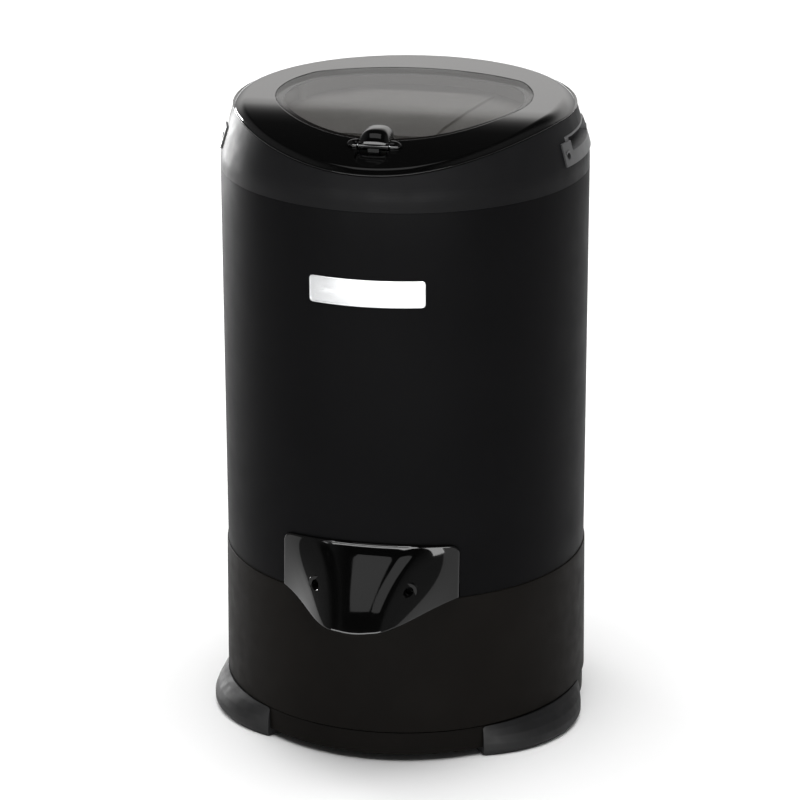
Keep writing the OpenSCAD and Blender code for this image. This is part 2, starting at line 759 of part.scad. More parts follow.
plate_z0 = pan_floor + plate_rise;
plate_t3 = 4;
plate_top = plate_z0 + plate_t3;
housing_wall = 2.5;
housing_z0 = plate_z0 - 14;
housing_top = housing_z0 + motor_h;
neck_top = tower_top - 2;
neck_in = neck_r - 4;
bearing_h = 12;
core_z0 = housing_z0 + 13;
core_h = motor_h - 28;
rotor_r = motor_r - 25;
bearing_r = 16;

module each_buffer() {
    for (theta = buffer_thetas) turn(theta) translate([buffer_at, 0, 0]) children();
}

module motor_plate() {
    rim = 3;
    color("#4a4c4e") at_axis() difference() {
        union() {
            ring(motor_r + part_clear, plate_r, plate_z0, plate_top);
            ring(plate_r - rim, plate_r, plate_z0, plate_top + 6);
        }
        each_buffer() post(stud_r + seat_gap, 0, 0, plate_z0 - past, plate_top + past);
    }
}

module buffers() {
    h = plate_z0 - buffer_boss_z;
    end_r = plate_r - buffer_at;
    waist_r = end_r - 2.5;
    color("#1a1a1a") at_axis() each_buffer() translate([0, 0, buffer_boss_z]) rotate_extrude($fn = 48)
        polygon([[stud_r + seat_gap, 0], [end_r, 0], [end_r, 0.15 * h], [waist_r, 0.35 * h],
            [waist_r, 0.65 * h], [end_r, 0.85 * h], [end_r, h], [stud_r + seat_gap, h]]);
}

module buffer_studs() {
    nut_r = 8;
    color("#9b9ea1") at_axis() each_buffer() {
        post(stud_r, 0, 0, buffer_boss_z - 12, plate_top + 9);
        translate([0, 0, plate_top]) cylinder(r = nut_r, h = 6, $fn = 6);
    }
}

module motor_housing() {
    flange_r = motor_r + 11;
    flange_t = 3;
    step_r = neck_in - 2;
    cover_z = housing_top - shell_wall;
    inner = motor_r - housing_wall;
    color("#8f9294") at_axis() rotate_extrude() polygon([[inner, housing_z0], [motor_r, housing_z0],
        [motor_r, plate_top], [flange_r, plate_top], [flange_r, plate_top + flange_t],
        [motor_r, plate_top + flange_t], [motor_r, housing_top - 6], [motor_r - 6, housing_top],
        [neck_r, housing_top], [neck_r, neck_top], [neck_in, neck_top], [neck_in, neck_top - bearing_h],
        [step_r, neck_top - bearing_h], [step_r, cover_z], [inner - 4, cover_z], [inner, cover_z - 4]]);
}

module motor_end_cap() {
    disc = 3;
    z = housing_z0 - 9;
    color("#85888a") at_axis() rotate_extrude() {
        polygon([[shaft_r + 2, z], [motor_r, z], [motor_r, housing_z0], [motor_r - housing_wall, housing_z0],
            [motor_r - housing_wall - seat_gap, housing_z0 + 3], [motor_r - 5.5, housing_z0 + 3],
            [motor_r - 5.5, z + disc], [bearing_r + 3, z + disc], [bearing_r + 3, z + disc + 10],
            [bearing_r + run_fit, z + disc + 10], [bearing_r + run_fit, z + disc], [shaft_r + 2, z + disc]]);
    }
}

slot_count = 18;
slot_r = 3.2;
slot_at = rotor_r + 8;

module stator_core() {
    color("#5b5d5f") at_axis() difference() {
        ring(rotor_r + 0.5, motor_r - housing_wall - seat_gap, core_z0, core_z0 + core_h);
        for (i = [0 : slot_count - 1]) rotate(i * 360 / slot_count)
            post(slot_r, slot_at, 0, core_z0 - past, core_z0 + core_h + past);
    }
}

module stator_windings() {
    turn_h = 8;
    color("#b06f3a") at_axis() {
        for (z = [core_z0 - turn_h, core_z0 + core_h]) ring(rotor_r + 2.5, rotor_r + 17, z, z + turn_h);
        for (i = [0 : slot_count - 1]) rotate(i * 360 / slot_count)
            post(slot_r - seat_gap, slot_at, 0, core_z0 - 1, core_z0 + core_h + 1);
    }
}

module rotor() {
    color("#70736f") at_axis() {
        ring(shaft_r + run_fit / 2, rotor_r, core_z0, core_z0 + core_h);
        ring(rotor_r - 8, rotor_r - 1, core_z0 - 4, core_z0 + core_h + 4);
    }
}

module bearing(outer, z, h) {
    groove = 0.6;
    bore = shaft_r + run_fit;
    mid = (outer + bore) / 2;
    color("#b4b7ba") at_axis() translate([0, 0, z]) rotate_extrude() polygon([[bore, 0], [mid - 2, 0],
        [mid - 2, groove], [mid + 2, groove], [mid + 2, 0], [outer, 0], [outer, h], [mid + 2, h],
        [mid + 2, h - groove], [mid - 2, h - groove], [mid - 2, h], [bore, h]]);
}

module bearing_upper() { bearing(neck_in - run_fit, neck_top - bearing_h, bearing_h); }
module bearing_lower() { bearing(bearing_r, housing_z0 - 6, 10); }

// ---------- drum ----------

drum_z = tub_z + drum_rise;
drum_top = casing_top - 2;
hub_top = drum_z + 12;
brake_hang = 52;
brake_z0 = plate_z0 - brake_hang;
brake_w = 18;

module drive_shaft() {
    color("#c4c7c9") at_axis() post(shaft_r, 0, 0, brake_z0 - 2, hub_top + 10);
}

module drum_hub() {
    disc_r = 60;
    skirt_r = tower_r0 + shell_wall + 4;
    color("#9da0a2") at_axis() {
        ring(shaft_r + run_fit / 2, bearing_r, neck_top + 3, hub_top);
        ring(bearing_r - 1, disc_r, drum_z - 4, drum_z);
        ring(skirt_r, skirt_r + shell_wall, tub_z + 8, drum_z - 3);
    }
}

module hub_nut() {
    color("#a9acaf") at_axis() difference() {
        translate([0, 0, hub_top]) cylinder(r = 12, h = 8, $fn = 6);
        post(shaft_r + run_fit, 0, 0, hub_top - past, hub_top + 8 + past);
    }
}

module drum_basket() {
    corner = 8;
    roll = 4;
    holes = 16;
    w = drum_wall;
    r = drum_r;
    pitch = (drum_top - drum_z - 60) / hole_rows;
    outside = concat(arc(r - corner, drum_z + corner, corner, -90, 0, 6),
        arc(r - corner, drum_top - corner, corner, 0, 90, 6),
        arc(drum_mouth_r + roll, drum_top - roll, roll, 90, 200, 6));
    inside = concat(arc(drum_mouth_r + roll, drum_top - roll, roll - w, 200, 90, 6),
        arc(r - corner, drum_top - corner, corner - w, 90, 0, 6),
        arc(r - corner, drum_z + corner, corner - w, 0, -90, 6));
    color("#c3c6c8") at_axis() difference() {
        rotate_extrude($fn = 144) polygon(concat([[bearing_r + seat_gap, drum_z]], outside, inside,
            [[bearing_r + seat_gap, drum_z + w]]));
        for (k = [0 : hole_rows - 1], i = [0 : holes - 1])
            rotate([0, 0, (i + (k % 2) / 2) * 360 / holes])
                translate([r - 4 * w, 0, drum_z + 30 + pitch * (k + 0.5)])
                    rotate([0, 90, 0]) cylinder(r = hole_r, h = 6 * w, $fn = 24);
    }
}

// ---------- brake ----------

brake_x = 75;
brake_y = 30;
brake_post_z = brake_z0 + 20;
lever_z = brake_z0 + 6;
lever_t = 6;
brake_pin_r = 3;
wire_x = 86;
wire_y = 62;
wire_z = lever_z + 3;
adjuster_x = 98;
adjuster_len = 8;
wire_in = 4; // how far the wire reaches into the adjuster
shoe_r = brake_r + brake_gap;
lining = 5.4;
boss_t = 8;

module brake_drum() {
    hub = 14;
    rim = 5;
    web = 4;
    color("#77797b") at_axis() {
        ring(shaft_r + run_fit / 2, hub, brake_z0, brake_z0 + brake_w);
        ring(hub - 1, brake_r - 1, brake_z0 + brake_w - web, brake_z0 + brake_w);
        ring(brake_r - rim, brake_r, brake_z0, brake_z0 + brake_w);
    }
}

module brake_bracket() {
    half = 6;
    arm_t = 4;
    color("#5d5f61") at_axis() difference() {
        union() {
            block(brake_x - half, brake_x + half, brake_y - half, brake_y + half, brake_post_z, plate_z0);
            translate([0, 0, brake_post_z]) linear_extrude(height = arm_t) polygon([
                [brake_x - half, brake_y - half], [brake_x + half, brake_y - half],
                [adjuster_x + adjuster_len, wire_y - 6], [adjuster_x + adjuster_len, wire_y + 6],
                [adjuster_x, wire_y + 6], [brake_x - half, brake_y + half]]);
            block(adjuster_x, adjuster_x + adjuster_len, wire_y - 6, wire_y + 6, wire_z - 6, brake_post_z + 1);
            post(brake_pin_r, brake_x, brake_y, brake_z0, brake_post_z + 1);
            post(brake_pin_r + 2.5, brake_x, brake_y, brake_z0, lever_z - 2 - joint_gap);
        }
        bar_x(3.6, adjuster_x - past, adjuster_x + adjuster_len - 1.5, wire_y, wire_z);
        bar_x(1.2, adjuster_x, adjuster_x + adjuster_len + past, wire_y, wire_z);
    }
}

module brake_spring() {
    color("#a0a3a6") at_axis() translate([brake_x, brake_y, 0])
        ring(brake_pin_r + seat_gap, brake_pin_r + 2.4, lever_z + boss_t - 2 + joint_gap, brake_post_z - joint_gap);
}

module brake_lever() {
    back_t = 3;
    color("#6a6c6e") at_axis() difference() {
        union() {
            post(7, brake_x, brake_y, lever_z - 2, lever_z + boss_t - 2);
            translate([0, 0, lever_z]) linear_extrude(height = lever_t) polygon([
                [shoe_r + lining + 1, -8], [shoe_r + lining + 1, 14], [brake_x - 5, brake_y + 5],
                [wire_x - 5, wire_y + 4], [wire_x + 4, wire_y + 4], [brake_x + 7, brake_y]]);
            sector(box_points(shoe_r + lining, shoe_r + lining + back_t, lever_z - 3, lever_z + lever_t + 3), 78, 112);
            bar_x(1, wire_x, adjuster_x + wire_in, wire_y, wire_z);
        }
        post(brake_pin_r + run_fit, brake_x, brake_y, lever_z - 3, lever_z + boss_t);
    }
}

module brake_shoe() {
    color("#3b2f29") at_axis()
        sector(box_points(shoe_r, shoe_r + lining - 0.03, lever_z - 3, lever_z + lever_t + 3), 78, 112);
}

// The cable's route, from the adjuster up between tub and casing and round the collar to the hinge
// Lower bend: shares of the way to the rise in x and y, and height over the wire
cable_bend = [[0, 0, 0], [0.302, 0.032, 1], [0.604, 0.161, 5], [0.83, 0.355, 14], [0.943, 0.581, 26],
    [0.981, 0.806, 40], [1, 0.968, 55], [1, 1, 71]];
// Upper run: shares of the turn to the hinge's lug, distance in from the casing, and shares of the climb
cable_run = [[0.025, 9, 0.333], [0.074, 10.5, 0.571], [0.152, 12.8, 0.762], [0.257, 14.4, 0.881],
    [0.362, 16.3, 0.952], [0.477, 17.7, 0.976], [0.594, 17.9, 1], [0.703, 18.6, 1], [0.81, 19.2, 1],
    [0.898, 19.1, 1], [1, 20.7, 1]];
cable_start = [adjuster_x + adjuster_len, wire_y, wire_z];
cable_low = wire_z + 112;
cable_high = casing_top - 15;
cable_end_z = part_z - 15;
cable_last = acos((cable_lug_x + lug_half) / (body_r - 20.7));
rise_steps = 9;
cable_route = concat(
    [for (b = cable_bend) [cable_start.x + b.x * (cable_x - cable_start.x),
        cable_start.y + b.y * (cable_y - cable_start.y), wire_z + b.z]],
    [for (i = [0 : rise_steps]) [cable_x, cable_y, cable_low + (cable_high - cable_low) * i / rise_steps]],
    [[cable_x, cable_y, casing_top + 1]],
    [for (c = cable_run) let (a = cable_turn + c[0] * (cable_last - cable_turn), r = body_r - c[1])
        [r * cos(a), r * sin(a), casing_top + c[2] * (cable_end_z - casing_top)]]);

function unit(v) = v / norm(v);
function route_dir(p, i) = unit(p[min(i + 1, len(p) - 1)] - p[max(i - 1, 0)]);
// Carries the side vector along the route, so that the tube doesn't twist
function sides(p, i, u) = i == len(p) ? []
    : let (d = route_dir(p, i), s = unit(u - (u * d) * d)) concat([s], sides(p, i + 1, s));

module tube(p, r) {
    n = 8;
    us = sides(p, 0, [0, 0, 1]);
    count = len(p);
    points = [for (i = [0 : count - 1], k = [0 : n - 1]) let (v = cross(route_dir(p, i), us[i]), a = 360 * k / n)
        p[i] + r * (cos(a) * us[i] + sin(a) * v)];
    skin = [for (i = [0 : count - 2], k = [0 : n - 1]) let (m = (k + 1) % n, c = i * n)
        each [[c + k, c + m, c + n + m], [c + k, c + n + m, c + n + k]]];
    ends = [for (k = [1 : n - 2]) each [[0, k + 1, k], [(count - 1) * n, (count - 1) * n + k, (count - 1) * n + k + 1]]];
    polyhedron(points = points, faces = [for (f = concat(skin, ends)) [f[0], f[2], f[1]]]);
}

module brake_cable() {
    color("#17181a") at_axis() tube(cable_route, cable_r);
}

module cable_clips() {
    clip_h = 8;
    clip_pitch = (casing_top - tub_z) / 2.5;
    first_z = casing_top - 30;
    color("#3c3e40") at_axis() for (i = [0 : 2]) translate([cable_x, cable_y, first_z - i * clip_pitch])
        ring(cable_r + seat_gap, cable_r + 1.2, 0, clip_h, $fn = 48);
}

// ---------- electrics ----------

capacitor_x = -85;
capacitor_y = 60;
capacitor_r = 18;

module capacitor() {
    h = plate_rise - 12;
    color("#d8d8d2") at_axis() {
        post(capacitor_r, capacitor_x, capacitor_y, pan_floor, pan_floor + h - 4);
        post(capacitor_r - 1.5, capacitor_x, capacitor_y, pan_floor + h - 5, pan_floor + h - 2);
        for (side = [-1, 1]) post(1.5, capacitor_x + side * 6, capacitor_y, pan_floor + h - 3, pan_floor + h + 2);
    }
}

module capacitor_clip() {
    z = pan_floor + 19;
    h = 12;
    in_r = capacitor_r + seat_gap;
    color("#8b8e90") at_axis() translate([capacitor_x, capacitor_y, 0]) difference() {
        union() {
            post(in_r + 2, 0, 0, z, z + h);
            block(-in_r - 3, -in_r + 2, -6, 6, pan_floor, z + h);
            block(-in_r - 13, -in_r, -6, 6, pan_floor, pan_floor + 2);
        }
        post(in_r, 0, 0, pan_floor - past, z + h + past);
    }
}

module terminal_box() {
    x0 = 24;
    x1 = 66;
    y1 = body_r - 28;
    y0 = y1 - 24;
    h = 30;
    lid_in = 2;
    color("#303133") at_axis() {
        block(x0, x1, y0, y1, pan_floor, pan_floor + h);
        block(x0 + lid_in, x1 - lid_in, y0 + lid_in, y1 - lid_in, pan_floor + h - 1, pan_floor + h + 3);
    }
}

// ---------- lid ----------

// Outline of the lid's rounded body, moved inwards by inset
function lid_outline(inset) = let (zc = top_z - rim_round, rc = skin_r(zc) - rim_round / cos(taper_angle),
    z0 = part_z - 40) concat([[0, z0], [skin_r(z0) - inset / cos(taper_angle), z0]],
    arc(rc, zc, rim_round - inset, taper_angle, 90, 6), [[0, top_z - inset]]);

// The window: a circle cut at the back by a flatter arc, with rounded corners
window_y = -3;
back_arc_r = window_r + 48;
back_cut = 20;
back_arc_y = window_y + window_r - back_cut - back_arc_r;
window_corner = 25;
corner_fit = (pow(back_arc_r - window_corner, 2) - pow(window_r - window_corner, 2)
    - back_arc_y * back_arc_y + window_y * window_y) / (2 * (window_y - back_arc_y));
corner_x = sqrt(pow(window_r - window_corner, 2) - pow(corner_fit - window_y, 2));
front_angle = atan2(corner_fit - window_y, corner_x);
back_angle = atan2(corner_fit - back_arc_y, corner_x);

function window_outline(grow) = concat(
    arc(corner_x, corner_fit, window_corner + grow, front_angle, back_angle, 6),
    arc(0, back_arc_y, back_arc_r + grow, back_angle + 3, 177 - back_angle, 9),
    arc(-corner_x, corner_fit, window_corner + grow, 180 - back_angle, 180 - front_angle, 6),
    arc(0, window_y, window_r + grow, 184 - front_angle, 356 + front_angle, 36));

module window_plan(grow) {
    translate([0, 0, part_z - 60]) linear_extrude(height = 100) polygon(window_outline(grow));
}

ledge_out = 6;
ledge_in = 8;
ledge_t = 2;
ear_half = tab_half + 9;
ear_r = 5;
well_y = body_r - 25;
hook_reach = 8;
lever_slot = tab_half + 0.8;
leaf_t = 2;
flange_off = lid_h - shell_wall - ledge_t;
liner_flange_t = 1.6;

module well_axis() {
    tilt = surface_tilt(well_y);
    translate([0, -well_y, surface_z(well_y, lid_h)]) rotate([tilt, 0, 0]) children();
}

module lid_shell() {
    pad_r = well_r + 4;
    pad_t = lid_h - 0.7;
    notch_half = hinge_len / 2 + 1.5;
    leaf_gap = knuckle_half + part_clear;
    color("#121213") at_axis() difference() {
        union() {
            difference() {
                intersection() {
                    rotate_extrude($fn = 180) polygon(lid_outline(0));
                    below(lid_h);
                }
                below(0);
                // inside of the shell, which leaves the ledge under the window and the pad under the well
                difference() {
                    intersection() {
                        rotate_extrude($fn = 180) polygon(lid_outline(shell_wall));
                        below(lid_h - shell_wall);
                    }
                    difference() {
                        window_plan(ledge_out);
                        window_plan(-ledge_in);
                        below(flange_off);
                    }
                    well_axis() translate([0, 0, -pad_t]) cylinder(r = pad_r, h = 20);
                }
                difference() {
                    window_plan(0);
                    below(lid_h - window_t);
                }
                window_plan(-ledge_in);
                well_axis() translate([0, 0, -well_depth]) cylinder(r = well_r, h = 20);
            }
            for (side = [-1, 1]) bar_x(ear_r, side > 0 ? lever_slot : -ear_half, side > 0 ? ear_half : -lever_slot,
                -latch_y, latch_z);
        }
        bar_x(pin_r + 0.02, -ear_half - past, ear_half + past, -latch_y, latch_z);
        block(-lever_slot, lever_slot, -latch_y - 6.5, -latch_y + 6.6, part_z - 60, top_z + past);
        bar_x(barrel_clear, -notch_half, notch_half, pivot_y, pivot_z);
        block(-leaf_gap, leaf_gap, pivot_y - 14, leaf_bend_y + part_clear, part_z - 10, top_z - shell_wall);
        block(-leaf_gap, leaf_gap, leaf_bend_y, pivot_y + 10, part_z - 10, pivot_z + barrel_r + part_clear);
    }
}

module lid_window() {
    color("#4d4b49") at_axis() difference() {
        intersection() {
            window_plan(-window_gap);
            below(lid_h);
        }
        below(lid_h - window_t);
    }
}

liner_r = mouth_r + 8;
liner_floor = part_z - 17;
liner_post_r = 3.6;
liner_post_at = liner_r - 7;
liner_thetas = [-110, -50, 50, 110];
seal_top = deck_z + 7;

module lid_liner() {
    skirt = 3;
    flange_out = body_r - 20;
    floor_t = 2.5;
    relief = 2.5;
    // outline of the raised fan, drawn for a liner of radius fan_liner_r
    fan_liner_r = 120;
    fan = [[-68, 82], [68, 82], [54, 20], [44, -40], [42, -76], [-42, -76], [-44, -40], [-54, 20]];
    color("#2b2a2a") at_axis() difference() {
        union() {
            difference() {
                intersection() {
                    cylinder(r = flange_out, h = top_z, $fn = 144);
                    below(flange_off);
                }
                below(flange_off - liner_flange_t);
                translate([0, 0, part_z - 60]) cylinder(r = liner_r - skirt, h = 100);
            }
            difference() {
                intersection() {
                    translate([0, 0, seal_top]) cylinder(r = liner_r, h = 60);
                    below(flange_off - 0.4);
                }
                translate([0, 0, seal_top - past]) cylinder(r = liner_r - skirt, h = 80);
            }
            translate([0, 0, liner_floor]) cylinder(r = liner_r - 1, h = floor_t);
            // raised fan in the middle of the floor, seen through the window
            translate([0, 0, liner_floor + 1]) linear_extrude(height = floor_t + relief - 1)
                polygon([for (p = fan) p * liner_r / fan_liner_r]);
            intersection() {
                for (theta = liner_thetas) turn(theta) post(liner_post_r, liner_post_at, 0, liner_floor + 1, top_z);
                below(flange_off);
            }
        }
        for (theta = liner_thetas) turn(theta) post(1.7, liner_post_at, 0, liner_floor - past, top_z);
        block(-lever_slot - 8, lever_slot + 8, -latch_y - 40, -liner_r - 0.6, part_z - 60, top_z);
    }
}

module liner_screws() {
    color("#8d9094") at_axis() for (theta = liner_thetas) turn(theta) {
        post(3.2, liner_post_at, 0, liner_floor - 2.2, liner_floor);
        post(1.5, liner_post_at, 0, liner_floor - 1, liner_floor + 15);
    }
}

module lid_seal() {
    color("#3a3a3b") at_axis() ring(liner_r - 3.4, liner_r + 0.6, deck_z + shell_wall + joint_gap, seal_top);
}

// ---------- hinge ----------

knuckle_half = 13;

leaf_bend_y = pivot_y - 6.5; // back of the leaf's upright

module hinge_bracket() {
    half = hinge_len / 2;
    leaf_gap = knuckle_half + part_clear;
    foot_top = flange_top - 0.1;
    foot_low = flange_top - 1.5;
    color("#242425") at_axis() difference() {
        union() {
            block(-half, half, pivot_y - 17, pivot_y - 1, foot_low, foot_top);
            for (side = [-1, 1]) bar_x(barrel_r, side > 0 ? knuckle_half + 0.5 : -half,
                side > 0 ? half : -knuckle_half - 0.5, pivot_y, pivot_z);
            block(cable_lug_x - lug_half, cable_lug_x + lug_half, pivot_y - 15, pivot_y - 7.5, lug_z0, foot_top);
        }
        bar_x(pin_r + 0.02, -half - past, half + past, pivot_y, pivot_z);
        bar_x(barrel_clear, -leaf_gap, leaf_gap, pivot_y, pivot_z);
        block(-leaf_gap, leaf_gap, leaf_bend_y - leaf_t - 1, pivot_y, foot_low - past, foot_top + past);
    }
}

module hinge_pin() {
    half = hinge_len / 2;
    color("#b4b7ba") at_axis() {
        bar_x(pin_r, -half - 0.5, half + 0.5, pivot_y, pivot_z);
        for (side = [-1, 1]) bar_x(pin_r + 1, side > 0 ? half + 0.1 : -half - 1.1,
            side > 0 ? half + 1.1 : -half - 0.1, pivot_y, pivot_z);
    }
}

module lid_hinge_leaf() {
    under = top_z - shell_wall;
    step_z = flange_top - 1;
    color("#242425") at_axis() difference() {
        union() {
            bar_x(barrel_r, -knuckle_half, knuckle_half, pivot_y, pivot_z);
            block(-knuckle_half, knuckle_half, pivot_y - 34, leaf_bend_y, under - leaf_t, under);
            block(-knuckle_half, knuckle_half, leaf_bend_y - leaf_t, leaf_bend_y, step_z, under);
            block(-knuckle_half, knuckle_half, leaf_bend_y - leaf_t, pivot_y - 2, step_z, step_z + leaf_t);
        }
        bar_x(pin_r + run_fit, -knuckle_half - past, knuckle_half + past, pivot_y, pivot_z);
    }
}

// ---------- latch ----------

spring_x0 = tab_half - 7;
spring_x1 = tab_half - 1.5;

module latch_pin() {
    color("#b4b7ba") at_axis() bar_x(pin_r, -ear_half, ear_half, -latch_y, latch_z);
}

module latch_spring() {
    color("#a0a3a6") at_axis() difference() {
        bar_x(pin_r + 1.9, spring_x0 + 0.4, spring_x1 - 0.4, -latch_y, latch_z);
        bar_x(pin_r + 0.1, spring_x0, spring_x1, -latch_y, latch_z);
    }
}

module latch_lever() {
    knuckle_r = 4.6;
    hook_half = 5;
    back = 24.5;
    // side view of the tab, as [behind the pivot, above the pivot]
    tab = [[back, 9.4], [back, tab_h - 2.4], [back - 1, tab_h - 1], [back - 3, tab_h - 0.2], [back - 7, tab_h],
        [7, tab_h], [3, tab_h - 0.8], [-0.5, tab_h - 3.2], [-3.2, tab_h - 7], [-4.8, 4], [-4.2, 0],
        [4.1, 0], [4.8, 3.4], [8, 6.4], [14, 7.6]];
    arm = [[-4, 0], [-4, -hook_drop + 3.3], [-hook_reach, -hook_drop + 3.3], [-hook_reach, -hook_drop],
        [0, -hook_drop], [0, 0]];
    color("#0c0c0d") at_axis() translate([0, -latch_y, latch_z]) difference() {
        union() {
            intersection() {
                rotate([90, 0, 90]) linear_extrude(height = 2 * tab_half, center = true) polygon(tab);
                union() {
                    post(tab_half, 0, back - tab_half, -past, tab_h + past);
                    block(-tab_half, tab_half, -10, back - tab_half, -past, tab_h + past);
                }
            }
            bar_x(knuckle_r, -tab_half + 0.1, tab_half - 0.1, 0, 0);
            rotate([90, 0, 90]) linear_extrude(height = 2 * hook_half, center = true) polygon(arm);
        }
        bar_x(pin_r + run_fit, -tab_half - past, tab_half + past, 0, 0);
        bar_x(knuckle_r - 0.2, spring_x0, spring_x1, 0, 0);
        block(spring_x0, spring_x1, -knuckle_r - past, knuckle_r + past, -knuckle_r - past, 0);
    }
}

foot_left();
foot_right();
foot_rear();
foot_screws();
base_pan();
lower_ring();
casing();
collar();
mouth_ring();
grip_left();
grip_right();
grip_screws();
outlet_spout();
outlet_screws();
outlet_pipe();
nameplate();
cord_gland();
inner_tub();
tub_gasket();
tub_cover();
tub_screws();
shaft_bellows();
motor_plate();
buffers();
buffer_studs();
motor_housing();
motor_end_cap();
stator_core();
stator_windings();
bearing_upper();
bearing_lower();
brake_bracket();
brake_spring();
brake_cable();
cable_clips();
capacitor();
capacitor_clip();
terminal_box();
interlock_switch();
catch_plate();
hinge_bracket();
hinge_pin();
lid_shell();
lid_window();
lid_liner();
lid_seal();
lid_hinge_leaf();
liner_screws();
latch_pin();
latch_spring();
latch_lever();
drum_basket();
drum_hub();
drive_shaft();
rotor();
brake_drum();
hub_nut();
brake_lever();
brake_shoe();
interlock_plunger();
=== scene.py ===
import json
import logging
import math
from dataclasses import dataclass, field
from enum import Enum

import bmesh
import bpy
import numpy as np
from mathutils import Matrix, Vector


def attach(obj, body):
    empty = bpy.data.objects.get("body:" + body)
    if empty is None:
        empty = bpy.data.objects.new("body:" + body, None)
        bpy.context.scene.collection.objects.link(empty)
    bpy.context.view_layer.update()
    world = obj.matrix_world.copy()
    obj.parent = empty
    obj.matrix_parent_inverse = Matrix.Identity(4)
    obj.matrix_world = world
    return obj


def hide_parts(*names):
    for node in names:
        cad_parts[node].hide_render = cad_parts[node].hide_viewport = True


# Looks of a free-standing laundry spin dryer: fine surfaces, materials, light and camera.
#
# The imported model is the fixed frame. Shapes are worked out in millimetres about the drum's axis,
# with z from the floor and the front towards -y, and are moved into the frame when a mesh is made.
# Angles called theta are counted from the front towards +x.

LOG = logging.getLogger("spin_dryer")

MM = 0.001
TURN = 2 * math.pi
AXIS_Y = 22.5  # the drum's axis lies this far behind the frame's origin, mm
SHARP = 32.0  # edges bent more than this many degrees stay sharp, where nothing else is said
MERGE = 1e-6  # points closer than this are one, m
MIDDLE = (0.3, 0.7)  # most of a texture's values lie between these
HALVINGS = 44

Object = bpy.types.Object
Socket = bpy.types.NodeSocket

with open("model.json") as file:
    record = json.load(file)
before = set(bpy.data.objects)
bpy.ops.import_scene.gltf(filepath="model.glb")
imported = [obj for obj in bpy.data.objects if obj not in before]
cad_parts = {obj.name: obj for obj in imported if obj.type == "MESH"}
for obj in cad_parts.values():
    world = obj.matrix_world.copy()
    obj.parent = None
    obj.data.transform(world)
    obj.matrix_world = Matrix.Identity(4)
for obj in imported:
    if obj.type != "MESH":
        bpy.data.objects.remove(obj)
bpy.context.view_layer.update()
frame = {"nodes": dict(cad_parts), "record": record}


# ---- sizes


@dataclass(frozen=True)
class Sizes:
    """Main sizes in millimetres, as in the construction model but for well_r and the last five."""

    body_r: float = 170.0
    groove_z: float = 30.0
    groove_gap: float = 1.2
    seam_z: float = 162.5
    casing_top: float = 530.0
    casing_wall: float = 1.2
    part_z: float = 587.0
    top_z: float = 594.0
    lid_h: float = 7.0
    bend_y: float = 40.0
    bend_r: float = 320.0
    shoulder_z: float = 537.5
    taper: float = 0.3
    taper_blend: float = 47.0
    shell_wall: float = 3.0
    latch_y: float = 131.0
    latch_z: float = 580.48
    pivot_y: float = 158.5
    pivot_z: float = 584.0
    well_y: float = 145.0
    well_r: float = 15.4
    slot_half: float = 14.8  # half of the latch's slot
    nose_top: float = 218.5
    nose_low: float = 153.5
    spout_half: float = 82.0
    front_dip: float = 0.3  # share of the lid's height that goes at its front
    dip_from: float = 60.0
    dip_over: float = 100.0
    rim_soft: float = 11.5  # rounding of the lid's rim, at the back and at the front
    rim_tight: float = 1.8


S = Sizes()


def ease(share: np.ndarray) -> np.ndarray:
    """A smooth step: 3 c^2 - 2 c^3, with c the share held between 0 and 1."""
    c = np.clip(share, 0, 1)
    return c * c * (3 - 2 * c)


# ---- colours


class Tone(Enum):
    """Surface colours as sRGB hex strings."""

    PAINT = "#121213"
    BASE = "#171513"
    COLLAR = "#1b1b1c"
    GRIP = "#464647"
    GLOSS = "#060606"
    WINDOW = "#1d1b1a"
    LINER = "#b0aeaa"
    RUBBER = "#0e0e0f"
    SEAL = "#161616"
    PLATE = "#c9cacb"
    TUB = "#b7babd"
    STAINLESS = "#b9bbbd"
    ALLOY = "#94979a"
    GREY_STEEL = "#3d3f42"
    DARK_STEEL = "#17181a"
    ZINC = "#a5a8ab"
    BRIGHT = "#c6c9cc"
    CORE = "#4c4e50"
    COPPER = "#a4622f"
    IRON = "#55575a"
    LINING = "#33281f"
    SHEATH = "#101114"
    MOULDED = "#161617"
    WHITE = "#d9d8d2"
    BLACK_SCREW = "#0d0d0e"
    FLOOR = "#f4f4f4"


def linear(tone: Tone, factor: float = 1.0) -> tuple[float, float, float, float]:
    """Turns an sRGB hex colour into the linear colour that shaders take.

    Each channel follows the sRGB curve: a short straight part, then a power of 2.4.

    Args:
        tone: the colour.
        factor: how much lighter or darker it gets.

    Returns:
        Red, green, blue and alpha, linear.
    """
    text = tone.value.lstrip("#")
    channels = [int(text[i:i + 2], 16) / 255 for i in (0, 2, 4)]
    lin = [c / 12.92 if c <= 0.04045 else ((c + 0.055) / 1.055) ** 2.4 for c in channels]
    return (*(min(1.0, c * factor) for c in lin), 1.0)


# ---- mesh making


